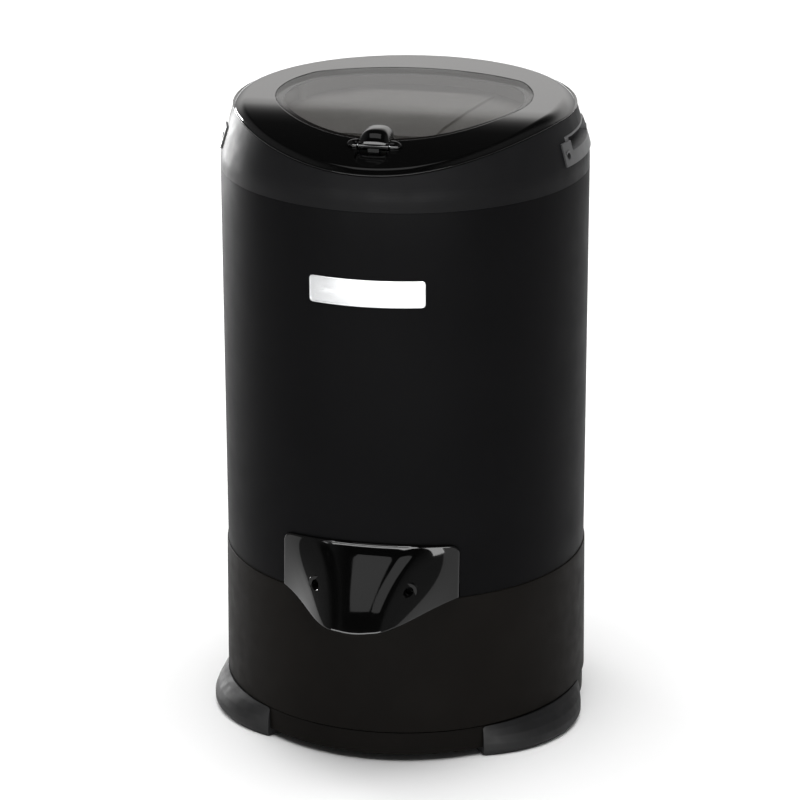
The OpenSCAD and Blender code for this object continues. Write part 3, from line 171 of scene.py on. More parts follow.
class MeshMaker:
    """Builds meshes from numpy arrays of points in millimetres about the drum's axis."""

    @staticmethod
    def make(name: str, points: np.ndarray, faces: list, sharp_deg: float = SHARP) -> Object:
        """Makes one object from points and faces.

        Args:
            name: the piece's name.
            points: (n, 3) points in millimetres about the axis.
            faces: vertex indices of each face.
            sharp_deg: edges bent more than this stay sharp.

        Returns:
            The linked object, with its place in its mesh.
        """
        moved = (np.asarray(points, float) + [0.0, AXIS_Y, 0.0]) * MM
        mesh = bpy.data.meshes.new(name)
        mesh.from_pydata(moved.tolist(), [], faces)
        mesh.validate()
        obj = bpy.data.objects.new(name, mesh)
        bpy.context.scene.collection.objects.link(obj)
        MeshMaker.clean(obj)
        MeshMaker.smooth(obj, sharp_deg)
        return obj

    @staticmethod
    def clean(obj: Object) -> None:
        """Merges double points and turns the faces outwards."""
        work = bmesh.new()
        work.from_mesh(obj.data)
        bmesh.ops.remove_doubles(work, verts=work.verts, dist=MERGE)
        bmesh.ops.recalc_face_normals(work, faces=work.faces)
        work.to_mesh(obj.data)
        work.free()

    @staticmethod
    def smooth(obj: Object, sharp_deg: float) -> None:
        """Shades a mesh smooth, with its strong bends kept sharp."""
        obj.data.shade_smooth()
        obj.data.set_sharp_from_angle(angle=math.radians(sharp_deg))

    @staticmethod
    def grid(rows: int, cols: int, wrap_rows: bool, wrap_cols: bool, base: int = 0) -> list:
        """Quads between neighbouring points of a grid stored row by row.

        Args:
            rows: rows of points.
            cols: points in a row.
            wrap_rows: whether the last row joins the first.
            wrap_cols: whether each row is closed on itself.
            base: index of the grid's first point.

        Returns:
            Four indices per quad.
        """
        i = np.arange(rows if wrap_rows else rows - 1)[:, None]
        j = np.arange(cols if wrap_cols else cols - 1)[None, :]
        here, there = i * cols, (i + 1) % rows * cols
        beside = (j + 1) % cols
        quads = np.stack([here + j, here + beside, there + beside, there + j], 2) + base
        return quads.reshape(-1, 4).tolist()

    @classmethod
    def loft(cls, name: str, loops: np.ndarray, wrap: bool, sharp_deg: float = SHARP) -> Object:
        """Joins equal closed loops of points, an array (loops, points, 3), into one closed skin.

        Args:
            name: the piece's name.
            loops: the loops, each closed on itself.
            wrap: whether the last loop joins the first; otherwise both ends are capped.
            sharp_deg: edges bent more than this stay sharp.

        Returns:
            The object.
        """
        n, k, _ = loops.shape
        faces = cls.grid(n, k, wrap, True)
        if not wrap:
            faces += [list(range(k)), list(range((n - 1) * k, n * k))]
        return cls.make(name, loops.reshape(-1, 3), faces, sharp_deg)

    @classmethod
    def turned(cls, name: str, outline: np.ndarray, steps: int) -> Object:
        """Turns a closed outline about the axis.

        Args:
            name: the piece's name.
            outline: points of [radius, height].
            steps: points round the axis.

        Returns:
            The object.
        """
        theta = np.linspace(0, TURN, steps, endpoint=False)[:, None]
        r, z = outline[None, :, 0], np.repeat(outline[None, :, 1], steps, 0)
        return cls.loft(name, np.stack([r * np.sin(theta), -r * np.cos(theta), z], 2), True)

    @classmethod
    def cut(cls, obj: Object, cutters: list, sharp_deg: float,
            operation: str = "DIFFERENCE") -> None:
        """Takes cutters away from a piece (or adds them), and keeps the result as its mesh.

        Args:
            obj: the piece.
            cutters: closed objects, which are used up.
            sharp_deg: edges bent more than this stay sharp.
            operation: the boolean that is applied.
        """
        for cutter in cutters:
            step = obj.modifiers.new("cut", "BOOLEAN")
            step.operation, step.solver, step.object = operation, "EXACT", cutter
            deps = bpy.context.evaluated_depsgraph_get()
            mesh = bpy.data.meshes.new_from_object(obj.evaluated_get(deps))
            obj.modifiers.clear()
            old, obj.data = obj.data, mesh
            bpy.data.meshes.remove(old)
            bpy.data.objects.remove(cutter)
        cls.clean(obj)
        cls.smooth(obj, sharp_deg)

    @classmethod
    def block(cls, low: tuple, high: tuple) -> Object:
        """A box between two corners, which only cuts others."""
        corners = [(x, y, z) for z in (low[2], high[2]) for x, y in
                   ((low[0], low[1]), (high[0], low[1]), (high[0], high[1]), (low[0], high[1]))]
        faces = [(0, 1, 2, 3), (4, 5, 6, 7), (0, 1, 5, 4), (1, 2, 6, 5), (2, 3, 7, 6), (3, 0, 4, 7)]
        return cls.make("cutter", np.array(corners, float), faces)

    @classmethod
    def rod(cls, name: str, profile: list, origin: tuple, along: tuple, steps: int = 64,
            sharp_deg: float = SHARP) -> Object:
        """Turns a profile of [radius, distance] about a line.

        Args:
            name: the piece's name.
            profile: points from one end of the line to the other; radius 0 closes an end.
            origin: where distance 0 lies, mm.
            along: the line's direction.
            steps: points round the line.
            sharp_deg: edges bent more than this stay sharp.

        Returns:
            The object.
        """
        turn = Vector((0, 0, 1)).rotation_difference(Vector(along).normalized()).to_matrix()
        rot = np.array(turn)
        a = np.linspace(0, TURN, steps, endpoint=False)
        loops = []
        for radius, distance in profile:
            r = max(radius, 0.001)
            ring = np.stack([r * np.cos(a), r * np.sin(a), np.full(steps, distance)], 1)
            loops.append(ring @ rot.T + np.array(origin))
        return cls.loft(name, np.stack(loops), False, sharp_deg)

    @classmethod
    def join(cls, name: str, objects: list, sharp_deg: float) -> Object:
        """Puts several meshes into one object, and removes the objects that held them."""
        work = bmesh.new()
        for obj in objects:
            work.from_mesh(obj.data)
            bpy.data.objects.remove(obj)
        mesh = bpy.data.meshes.new(name)
        work.to_mesh(mesh)
        work.free()
        made = bpy.data.objects.new(name, mesh)
        bpy.context.scene.collection.objects.link(made)
        cls.smooth(made, sharp_deg)
        return made


class Line:
    """Closed lines of points, rounded, smoothed or made finer."""

    @staticmethod
    def fillet(points: list, radii: list, steps: int = 5) -> np.ndarray:
        """Rounds the corners of a closed outline.

        Each corner becomes an arc that touches both of its edges; a radius of 0 keeps the corner.

        Args:
            points: the corners in order.
            radii: one radius per corner.
            steps: parts of each arc.

        Returns:
            The rounded outline as an (n, 2) array.
        """
        pts = [np.array(p, float) for p in points]
        out = []
        for i, p in enumerate(pts):
            a, b = pts[i - 1] - p, pts[(i + 1) % len(pts)] - p
            la, lb = np.linalg.norm(a), np.linalg.norm(b)
            a, b = a / la, b / lb
            half = math.acos(max(-1.0, min(1.0, float(a @ b)))) / 2
            if radii[i] <= 0 or half > math.radians(88):
                out.append(p)
                continue
            reach = min(radii[i] / math.tan(half), 0.49 * la, 0.49 * lb)
            r = reach * math.tan(half)
            centre = p + (a + b) / np.linalg.norm(a + b) * (r / math.sin(half))
            start, end = p + a * reach - centre, p + b * reach - centre
            a0, a1 = math.atan2(start[1], start[0]), math.atan2(end[1], end[0])
            turn = (a1 - a0 + math.pi) % TURN - math.pi
            for k in range(steps + 1):
                at = a0 + turn * k / steps
                out.append(centre + r * np.array([math.cos(at), math.sin(at)]))
        return np.array(out)

    @staticmethod
    def curve(knots: np.ndarray, parts: int) -> np.ndarray:
        """A closed curve through points, in cubics whose slopes follow the neighbouring points.

        Args:
            knots: the points (n, 2).
            parts: steps between two points.

        Returns:
            The curve's points.
        """
        n = len(knots)
        out = []
        for i in range(n):
            a, b, c, d = knots[i - 1], knots[i], knots[(i + 1) % n], knots[(i + 2) % n]
            for t in np.linspace(0, 1, parts, endpoint=False):
                out.append(0.5 * (2 * b + (c - a) * t + (2 * a - 5 * b + 4 * c - d) * t * t
                                  + (3 * b - a - 3 * c + d) * t ** 3))
        return np.array(out)

    @staticmethod
    def split(line: np.ndarray, longest: float) -> np.ndarray:
        """Splits the parts of a closed line that are longer than a limit."""
        closed = np.concatenate([line, line[:1]])
        out = []
        for i, length in enumerate(np.linalg.norm(np.diff(closed, axis=0), axis=1)):
            parts = max(1, math.ceil(length / longest))
            out += [closed[i] + (closed[i + 1] - closed[i]) * k / parts for k in range(parts)]
        return np.array(out)

    @staticmethod
    def even(line: np.ndarray, count: int) -> np.ndarray:
        """Gives a closed line a number of evenly spaced points."""
        closed = np.concatenate([line, line[:1]])
        seg = np.linalg.norm(np.diff(closed, axis=0), axis=1)
        along = np.concatenate([[0], np.cumsum(seg)])
        at = np.linspace(0, along[-1], count, endpoint=False)
        return np.stack([np.interp(at, along, closed[:, k]) for k in range(line.shape[1])], 1)


# ---- materials


class Nodes:
    """A node tree of a material or of the world."""

    def __init__(self, tree: bpy.types.NodeTree) -> None:
        self.nodes, self.links = tree.nodes, tree.links

    def put(self, socket: Socket, value: object) -> None:
        """Gives an input a plain value, or links it to the socket that feeds it."""
        if isinstance(value, Socket):
            self.links.new(value, socket)
        else:
            socket.default_value = value

    def add(self, kind: str, **values: object) -> bpy.types.Node:
        """Adds a node with its settings and links.

        Args:
            kind: the node's type.
            values: what its inputs (named with _ for a space) and its properties get.

        Returns:
            The node.
        """
        node = self.nodes.new(kind)
        for key, value in values.items():
            title = key.replace("_", " ")
            if title in node.inputs:
                self.put(node.inputs[title], value)
            else:
                setattr(node, key, value)
        return node


class Texture(Enum):
    """What a pattern is drawn with: the node's type and the output that is read."""

    NOISE = ("ShaderNodeTexNoise", "Fac")
    CELLS = ("ShaderNodeTexVoronoi", "Distance")
    WAVES = ("ShaderNodeTexWave", "Fac")


@dataclass(frozen=True)
class Pattern:
    """A texture on the piece's own coordinates.

    Scale counts features per metre: 1000 of them lie 1 mm apart. Stretch packs them closer along
    an axis, which leaves lines across it.
    """

    scale: float
    detail: float | None = 3.0
    stretch: tuple = (1, 1, 1)
    texture: Texture = Texture.NOISE
    settings: dict = field(default_factory=dict)

    def draw(self, tree: Nodes) -> Socket:
        """Adds the texture's nodes.

        Args:
            tree: the material's nodes.

        Returns:
            The socket that holds the pattern.
        """
        kind, output = self.texture.value
        settings = dict(self.settings)
        if self.detail is not None:
            settings["Detail"] = self.detail
        place = tree.add("ShaderNodeTexCoord")
        size = tree.add("ShaderNodeMapping", Vector=place.outputs["Object"], Scale=self.stretch)
        return tree.add(kind, Vector=size.outputs["Vector"], Scale=self.scale,
                        **settings).outputs[output]


@dataclass(frozen=True)
class Finish:
    """A material: a clouded colour, a patchy sheen and a fine relief.

    The colour runs between the tone times each of the two shades, and the roughness between the
    two ends of rough, or stays at the first where there is no sheen. The depth of the relief is in
    metres. Inputs holds further plain values of the surface shader.
    """

    name: str
    tone: Tone
    clouds: Pattern
    shades: tuple
    rough: tuple
    sheen: Pattern | None = None
    relief: Pattern | None = None
    depth: float = 0.0
    strength: float = 1.0
    inputs: dict = field(default_factory=dict)

    def build(self) -> bpy.types.Material:
        """Makes the material.

        Returns:
            The material; a pattern that is used twice is drawn once.
        """
        material = bpy.data.materials.new(self.name)
        material.use_nodes = True
        tree = Nodes(material.node_tree)
        drawn = {id(p): p.draw(tree) for p in (self.clouds, self.sheen, self.relief) if p}
        ramp = tree.add("ShaderNodeValToRGB", Fac=drawn[id(self.clouds)])
        for stop, at, factor in zip(ramp.color_ramp.elements, MIDDLE, self.shades):
            stop.position, stop.color = at, linear(self.tone, factor)
        inputs = {"Base Color": ramp.outputs["Color"], "Roughness": self.rough[0], **self.inputs}
        if self.sheen:
            spread = tree.add("ShaderNodeMapRange", Value=drawn[id(self.sheen)],
                              From_Min=MIDDLE[0], From_Max=MIDDLE[1],
                              To_Min=self.rough[0], To_Max=self.rough[1])
            inputs["Roughness"] = spread.outputs["Result"]
        if self.relief:
            bump = tree.add("ShaderNodeBump", Height=drawn[id(self.relief)],
                            Distance=self.depth, Strength=self.strength)
            inputs["Normal"] = bump.outputs["Normal"]
        for title, value in inputs.items():
            tree.put(tree.nodes["Principled BSDF"].inputs[title], value)
        return material


def moulded(name: str, tone: Tone, rough: float, grain: float = 1400, depth: float = 0.00005,
            specular: float = 0.3) -> Finish:
    """Grained injection moulding: fine spark-eroded grain and slow changes of sheen.

    Args:
        name: the material's name.
        tone: its colour.
        rough: its middle roughness.
        grain: features of the grain per metre.
        depth: depth of the grain, m.
        specular: strength of its mirror image.

    Returns:
        The finish.
    """
    return Finish(name, tone, Pattern(14), (0.88, 1.14), (rough - 0.05, rough + 0.06), Pattern(60),
                  Pattern(grain, 4), depth, 0.5, {"Specular IOR Level": specular})


def metal(name: str, tone: Tone, rough: float, stretch: tuple, lines: float, depth: float,
          metallic: float = 1.0) -> Finish:
    """Metal with marks drawn along one direction, or an even skin where stretch is even.

    Args:
        name: the material's name.
        tone: its colour.
        rough: its middle roughness.
        stretch: how the marks are packed along each axis.
        lines: marks per metre before that.
        depth: depth of the marks, m.
        metallic: 1 for bare metal, less where a lacquer lies over it.

    Returns:
        The finish.
    """
    drawn = Pattern(lines, 3, stretch)
    return Finish(name, tone, Pattern(25), (0.85, 1.08), (rough - 0.07, rough + 0.08), drawn, drawn,
                  depth, 0.4, {"Metallic": metallic})


def painted(name: str, tone: Tone) -> Finish:
    """Dipped or sprayed paint on pressed steel: the relief's 3 mm waves are its orange peel."""
    return Finish(name, tone, Pattern(20), (0.85, 1.15), (0.35, 0.5), Pattern(80), Pattern(350),
                  0.00006, 0.4, {"Specular IOR Level": 0.4})


EVEN = (1, 1, 1)
SHEETS = Pattern(300.0, None, texture=Texture.WAVES,
                 settings={"Distortion": 0.3, "bands_direction": "Z"})
WIRES = Pattern(260.0, 1.0, texture=Texture.WAVES,
                settings={"Distortion": 1.5, "wave_type": "RINGS", "rings_direction": "Z"})

# one finish for each of the record's slots
FINISHES = {
    # satin powder coat on sheet steel: dull and dark, with the faint waviness of sprayed paint
    "black_paint": Finish("satin_black_paint", Tone.PAINT, Pattern(9), (0.9, 1.12), (0.42, 0.48),
                          Pattern(40), Pattern(700, 2), 0.00004, 0.25,
                          {"Specular IOR Level": 0.02}),
    # spark-eroded PP and ABS: a grain of 0.7 mm breaks the mirror image up into a soft dark sheen
    "base_plastic": moulded("grained_base_plastic", Tone.BASE, 0.5, specular=0.03),
    "collar_plastic": moulded("grained_collar_plastic", Tone.COLLAR, 0.44, specular=0.04),
    "grip_plastic": moulded("grained_grip_plastic", Tone.GRIP, 0.42, specular=0.5),
    "liner_plastic": moulded("grey_liner_plastic", Tone.LINER, 0.4, specular=0.4),
    "switch_plastic": moulded("black_switch_plastic", Tone.MOULDED, 0.48),
    # natural PP and nylon: waxy and light, with a coarser skin of about 2 mm
    "tub_plastic": moulded("light_tub_plastic", Tone.TUB, 0.38, 500, 0.00008, 0.45),
    "white_plastic": moulded("white_nylon", Tone.WHITE, 0.35, 600, 0.00003, 0.5),
    # extruded PVC sheath: smooth and dull
    "cable_sheath": moulded("cable_sheath", Tone.SHEATH, 0.5, 900),
    # pressed friction lining: rough fibres about 1 mm apart, no shine
    "brake_lining": moulded("pressed_brake_lining", Tone.LINING, 0.85, 800, 0.0003, 0.2),
    # moulded rubber: dull, with a talc-like bloom in places
    "black_rubber": Finish("moulded_black_rubber", Tone.RUBBER, Pattern(30, 5), (0.8, 1.5),
                           (0.55, 0.7), Pattern(90), Pattern(1100, 4), 0.00008, 0.5,
                           {"Specular IOR Level": 0.3}),
    # foamed rubber: open cells about 1 mm wide take all shine away
    "soft_seal": Finish("soft_seal_rubber", Tone.SEAL, Pattern(200, 5), (0.7, 1.3), (0.85, 0.85),
                        relief=Pattern(900.0, None, texture=Texture.CELLS), depth=0.0002,
                        strength=0.6),
    # polished ABS: a mirror with the slight waviness of moulded plastic and fine wiping marks
    "gloss_black": Finish("polished_black_plastic", Tone.GLOSS, Pattern(6), (0.9, 1.2),
                          (0.05, 0.085), Pattern(60, 2, (1, 7, 1)), Pattern(25, 1), 0.00003, 0.3,
                          {"Specular IOR Level": 0.33, "IOR": 1.49}),
    # smoked acrylic: dark but seen through, with a polished face
    "smoked_window": Finish("smoked_acrylic", Tone.WINDOW, Pattern(5), (0.95, 1.1), (0.03, 0.055),
                            Pattern(50, 2), Pattern(18, 1), 0.00003, 0.25,
                            {"Specular IOR Level": 0.5, "IOR": 1.49, "Alpha": 0.4}),
    # lacquered aluminium, brushed: lines 0.3 mm apart along the plate spread the light upwards
    "plate_silver": metal("brushed_silver_plate", Tone.PLATE, 0.34, (1, 1, 30), 120, 0.00002, 0.75),
    # rolled and brushed stainless sheet: long soft streaks round the drum
    "stainless": metal("brushed_stainless_sheet", Tone.STAINLESS, 0.3, (1, 1, 25), 160, 0.00003),
    # die-cast aluminium: a matt skin with 2 mm unevenness
    "cast_alloy": metal("die_cast_alloy", Tone.ALLOY, 0.5, EVEN, 500, 0.00012),
    # zinc-plated steel: a cool half shine in 4 mm patches
    "zinc_steel": metal("zinc_plated_steel", Tone.ZINC, 0.38, EVEN, 260, 0.00002),
    # ground steel: a tight bright shine; its marks are drawn coarser than real grinding to show
    "bright_steel": metal("ground_steel", Tone.BRIGHT, 0.2, (1, 1, 40), 300, 0.00001),
    # turned grey iron: dark, with fine rings from the tool
    "drum_iron": metal("turned_iron", Tone.IRON, 0.42, (1, 1, 20), 220, 0.00004),
    # stacked sheets, drawn thicker than real 0.5 mm ones so that the layers show
    # the colour follows the sheets' relief: painted shade, darker in the grooves between the sheets
    "core_iron": Finish("stacked_iron_sheet", Tone.CORE, SHEETS, (0.7, 1.1), (0.45, 0.6),
                        Pattern(120), SHEETS, 0.0001, 0.6, {"Metallic": 0.9}),
    # enamelled copper: glossy wires, drawn thicker than real ones so that they show
    # the colour follows the wires' relief: painted shade, darker in the grooves between the wires
    "copper_wire": Finish("enamelled_copper_winding", Tone.COPPER, WIRES, (0.5, 1.2), (0.33, 0.33),
                          None, WIRES, 0.0004, 0.8, {"Metallic": 0.8, "Coat Weight": 0.5}),
    # paint on pressed steel and blackened screws: an even half shine
    "grey_steel": painted("grey_painted_steel", Tone.GREY_STEEL),
    "dark_steel": painted("black_painted_steel", Tone.DARK_STEEL),
    "black_screw": painted("blackened_screw", Tone.BLACK_SCREW),
}

# matt pale floor, without any mirror image
FLOOR = Finish("pale_floor", Tone.FLOOR, Pattern(3), (0.98, 1.0), (0.9, 0.9),
               inputs={"Specular IOR Level": 0.0})


class Palette:
    """The machine's materials, each made once."""

    def __init__(self) -> None:
        self.made: dict[str, bpy.types.Material] = {}

    def get(self, slot: str) -> bpy.types.Material:
        """The material of one of the record's slots."""
        if slot not in self.made:
            self.made[slot] = FINISHES[slot].build()
        return self.made[slot]


# ---- shared surfaces


class Skin:
    """The tapered outside of collar and lid, and the bent surface that parts them."""

    @staticmethod
    def radius(z: np.ndarray) -> np.ndarray:
        """Radius of the taper at a height: a parabola into a straight slope."""
        h = np.asarray(z, float) - S.shoulder_z
        blend = S.taper * S.taper_blend
        slope = blend * S.taper / 2 + S.taper * (h - blend)
        curved = np.where(h < blend, h * h / (2 * S.taper_blend), slope)
        return S.body_r - np.where(h <= 0, 0, curved)

    @staticmethod
    def thinned(front: np.ndarray) -> np.ndarray:
        """Share of the lid's height that is left at a distance in front of the axis."""
        return 1 - S.front_dip * ease((np.asarray(front, float) - S.dip_from) / S.dip_over)

    @staticmethod
    def surface(front: np.ndarray, off: float) -> np.ndarray:
        """Height of the surface that lies off above the parting one.

        It is flat at the back and an arc of bend_r in front of bend_y.

        Args:
            front: distance in front of the axis, mm.
            off: how far the surface lies above the parting one where the lid is full, mm.

        Returns:
            Heights, mm.
        """
        d = np.maximum(np.asarray(front, float) - S.bend_y, 0)
        return S.part_z - S.bend_r + np.sqrt((S.bend_r + off * Skin.thinned(front)) ** 2 - d * d)

    @staticmethod
    def outside(r: np.ndarray, z: np.ndarray, theta: np.ndarray) -> np.ndarray:
        """How far a point is outside the lid.

        a is the distance to the tapered wall and b the distance to the bent top. The two meet in a
        rounding: both are shortened by the rounding's radius, and outside the corner the length of
        the pair (a, b) counts.

        Args:
            r: distance from the axis, mm.
            z: height, mm.
            theta: angle from the front.

        Returns:
            The distance, mm; less than 0 inside.
        """
        front = r * np.cos(theta)
        a = (r - Skin.radius(z)) / math.hypot(1, S.taper)
        d = np.maximum(front - S.bend_y, 0)
        top_r = S.bend_r + S.lid_h * Skin.thinned(front)
        b = np.hypot(d, z - (S.part_z - S.bend_r)) - top_r
        b = np.where(front <= S.bend_y, z - S.top_z, b)
        soft = Skin.rounding(theta)
        pa, pb = a + soft, b + soft
        corner = np.hypot(np.maximum(pa, 0), np.maximum(pb, 0))
        return np.minimum(np.maximum(pa, pb), 0) + corner - soft

    @staticmethod
    def rounding(theta: np.ndarray) -> np.ndarray:
        """Radius of the lid's rim: it shrinks where the bent top nears the parting line."""
        return S.rim_soft - (S.rim_soft - S.rim_tight) * ease((np.cos(theta) - 0.05) / 0.75)

    @staticmethod
    def top(x: np.ndarray, y: np.ndarray) -> np.ndarray:
        """Height of the lid's outside over points, found by halving.

        Args:
            x: to the right of the axis, mm.
            y: behind the axis, mm.

        Returns:
            Heights, mm.
        """
        r, theta = np.hypot(x, y), np.arctan2(x, -y)
        low, high = np.full(np.shape(r), 540.0), np.full(np.shape(r), 596.0)
        for _ in range(HALVINGS):
            mid = (low + high) / 2
            out = Skin.outside(r, mid, theta) > 0
            low, high = np.where(out, low, mid), np.where(out, mid, high)
        return low


@dataclass(frozen=True)
class Window:
    """Plan of the window: a circle cut at the back by a flatter arc, with rounded corners; mm."""

    r: float = 118.0
    y: float = -3.0
    back_r: float = 166.0
    back_y: float = -71.0
    corner: float = 25.0

    def outline(self, grow: float) -> np.ndarray:
        """Points round the window.

        Args:
            grow: how far the outline is moved outwards, mm.

        Returns:
            Points (n, 2), in order.
        """
        inner, flat = self.r - self.corner, self.back_r - self.corner
        apart = self.y - self.back_y
        cy = (flat ** 2 - inner ** 2 - self.back_y ** 2 + self.y ** 2) / (2 * apart)
        cx = math.sqrt(inner ** 2 - (cy - self.y) ** 2)
        front, back = math.atan2(cy - self.y, cx), math.atan2(cy - self.back_y, cx)
        arcs = [(cx, cy, self.corner, front, back, 24),
                (0, self.back_y, self.back_r, back, math.pi - back, 48),
                (-cx, cy, self.corner, math.pi - back, math.pi - front, 24),
                (0, self.y, self.r, math.pi - front, TURN + front, 160)]
        out = []
        for ax, ay, ar, a0, a1, n in arcs:
            a = np.linspace(a0, a1, n, endpoint=False)
            out.append(np.stack([ax + (ar + grow) * np.cos(a), ay + (ar + grow) * np.sin(a)], 1))
        return np.concatenate(out)

    def radius(self, theta: np.ndarray) -> np.ndarray:
        """Distance of the window's outline from the axis at each angle."""
        line = self.outline(0.0)
        ang = np.arctan2(line[:, 0], -line[:, 1])
        order = np.argsort(ang)
        away = np.hypot(line[:, 0], line[:, 1])
        return np.interp(theta, ang[order], away[order], period=TURN)


WINDOW = Window()


# ---- pieces


@dataclass
class Piece:
    """A finished piece and what it stands for."""

    obj: Object
    body: str
    slot: str
    replaces: tuple = ()


@dataclass(frozen=True)
class Lid:
    """Lid shell, its window, its finger well, its ears and the latch; sizes in mm."""

    steps: int = 384
    sharp: float = 38.0
    core: tuple = (40.0, 30.0)  # the rays start this far inside the foot and below it
    rim_edge: float = 1.2
    bead: float = 1.5
    bead_line: tuple = ((-0.5, 0.0), (0.1, 0.0), (0.38, 0.12), (0.55, 0.4), (0.55, 0.7), (0.4, 1.0),
                        (0.1, 1.25))
    play: float = 0.1
    ledge: float = 6.5
    ledge_off: float = 4.0
    # the rebate: how far outside the window's edge, how far below the lid's outside
    rebate: tuple = ((0.5, 0.0), (0.15, 0.15), (0, 0.5), (0, 3.0), (-8, 3.0), (-8, 5.0), (5.5, 5.0))
    slot_y: tuple = (-137.5, -124.4)
    pane: float = 2.97
    pane_middle: tuple = (0.0, 5.0)
    pin_r: float = 5.0
    ear_w: float = 9.4
    tab_half: float = 14.0
    tab_power: float = 2.6
    # side view of the tab about the pin: behind and above it
    tab_line: tuple = ((-4.7, 0.6), (-4.9, 4.0), (-3.6, 7.2), (-0.6, 10.6), (3.2, 12.7),
                       (8.5, 13.35), (15, 13.35), (20.5, 13.1), (23.6, 12.2), (24.5, 10.8),
                       (23.8, 9.6), (20.0, 8.9), (14.0, 7.7), (8.4, 6.3), (5.2, 3.4), (4.4, 0.4),
                       (0.0, -1.5))
    hook_line: tuple = ((-4, 1), (-4, -21.2), (-8, -21.2), (-8, -24.5), (0, -24.5), (0, 1))
    hook_radii: tuple = (0, 1.2, 0.5, 0.8, 1.2, 0)

    @staticmethod
    def _level(centre: np.ndarray, theta: np.ndarray, angles: np.ndarray,
               level: float) -> np.ndarray:
        """Points where rays from a centre reach a level of Skin.outside, found by halving.

        Args:
            centre: [radius, height] per theta, inside the lid's rim.
            theta: the angles round the axis.
            angles: (theta, rays) direction of each ray.
            level: 0 for the outside, -w for the surface that lies w inside it.

        Returns:
            Points (theta, rays, 2).
        """
        low, high = np.full(angles.shape, 2.0), np.full(angles.shape, 120.0)
        for _ in range(HALVINGS):
            mid = (low + high) / 2
            r, z = centre[:, :1] + mid * np.cos(angles), centre[:, 1:] + mid * np.sin(angles)
            out = Skin.outside(r, z, theta[:, None]) > level
            low, high = np.where(out, low, mid), np.where(out, mid, high)
        return np.stack([centre[:, :1] + low * np.cos(angles),
                         centre[:, 1:] + low * np.sin(angles)], 2)

    def shell(self) -> Object:
        """The polished shell, one closed loop of points per angle.

        Rays from a point inside find the rounded outside and the inside, a wall's thickness in from
        it. Between them lie the window's rebate with its ledge and, at the foot, a small bead.

        Returns:
            The shell, with its slot, its well and the hinge's room cut out.
        """
        theta = np.linspace(-math.pi, math.pi, self.steps, endpoint=False)
        foot_r = np.full(self.steps, 160.0)
        for _ in range(30):
            foot_r = Skin.radius(Skin.surface(foot_r * np.cos(theta), 0))
        foot_z = Skin.surface(foot_r * np.cos(theta), 0)
        rim_r = WINDOW.radius(theta)
        centre = np.stack([foot_r - self.core[0], foot_z - self.core[1]], 1)

        def at(r: np.ndarray, off: float) -> np.ndarray:
            """Points [radius, height] that lie off above the parting surface."""
            return np.stack([r, Skin.surface(r * np.cos(theta), off)], 1)[:, None]

        def aim(r: np.ndarray, z: np.ndarray) -> np.ndarray:
            """Direction from the centre to a point."""
            return np.arctan2(z - centre[:, 1], r - centre[:, 0])[:, None]

        start = aim(Skin.radius(foot_z + self.bead), foot_z + self.bead)
        edge = at(rim_r + self.rim_edge, S.lid_h)[:, 0]
        share = np.linspace(0, 1, 56) ** 1.3
        outer = self._level(centre, theta, start + (aim(*edge.T) - start) * share[None, :], 0.0)
        foot_in = at(foot_r - S.shell_wall - self.play, 0)
        ledge = at(rim_r + self.ledge, self.ledge_off)[:, 0]
        start, share = aim(*foot_in[:, 0].T), np.linspace(0.05, 1, 28)
        inner = self._level(centre, theta, start + (aim(*ledge.T) - start) * share[None, :],
                            -S.shell_wall)
        foot = np.stack([foot_r, foot_z], 1)[:, None]
        loop = np.concatenate(
            [foot + np.array([[step]]) for step in self.bead_line] + [outer]
            + [at(rim_r + grow, S.lid_h - drop) for grow, drop in self.rebate]
            + [inner[:, ::-1], foot_in], 1)
        th = theta[:, None]
        pts = np.stack([loop[..., 0] * np.sin(th), -loop[..., 0] * np.cos(th), loop[..., 1]], 2)
        obj = MeshMaker.loft("lid_top", pts, True, self.sharp)
        centre, axis = self._well_axis()
        well = [(S.well_r - 0.2, -7.0), (S.well_r - 0.2, 12.0)]
        pin = [(5.1, -31.5), (5.1, 31.5)]
        MeshMaker.cut(obj, [
            self._slot_cutter(),
            # room for the hinge's pin, its bracket and its leaf
            MeshMaker.rod("cutter", pin, (0, S.pivot_y, S.pivot_z), (1, 0, 0)),
            MeshMaker.block((-13.4, 144.5, 560), (13.4, 152.4, 591)),
            MeshMaker.block((-13.4, 151.9, 560), (13.4, 168.5, 588.9)),
            MeshMaker.rod("cutter", well, tuple(centre), tuple(axis), 96),
        ], self.sharp)
        return obj

    def _slot_cutter(self) -> Object:
        """Room for the latch."""
        front, back = self.slot_y
        return MeshMaker.block((-S.slot_half, front, 520), (S.slot_half, back, 600))

    def _well_axis(self) -> tuple[np.ndarray, np.ndarray]:
        """Centre of the finger well on the lid's surface, and its axis, square to it there."""
        tilt = math.asin((S.well_y - S.bend_y) / (S.bend_r + S.lid_h))
        centre = np.array([0.0, -S.well_y, float(Skin.surface(S.well_y, S.lid_h))])
        return centre, np.array([0.0, -math.sin(tilt), math.cos(tilt)])

    def well(self) -> Object:
        """The finger well: a shallow dish whose lip follows the lid's surface.

        Returns:
            The dish, with the lever's slot cut through.
        """
        centre, axis = self._well_axis()
        side = np.cross(axis, [1.0, 0.0, 0.0])
        a = np.linspace(0, TURN, 128, endpoint=False)
        out = S.well_r - 0.1
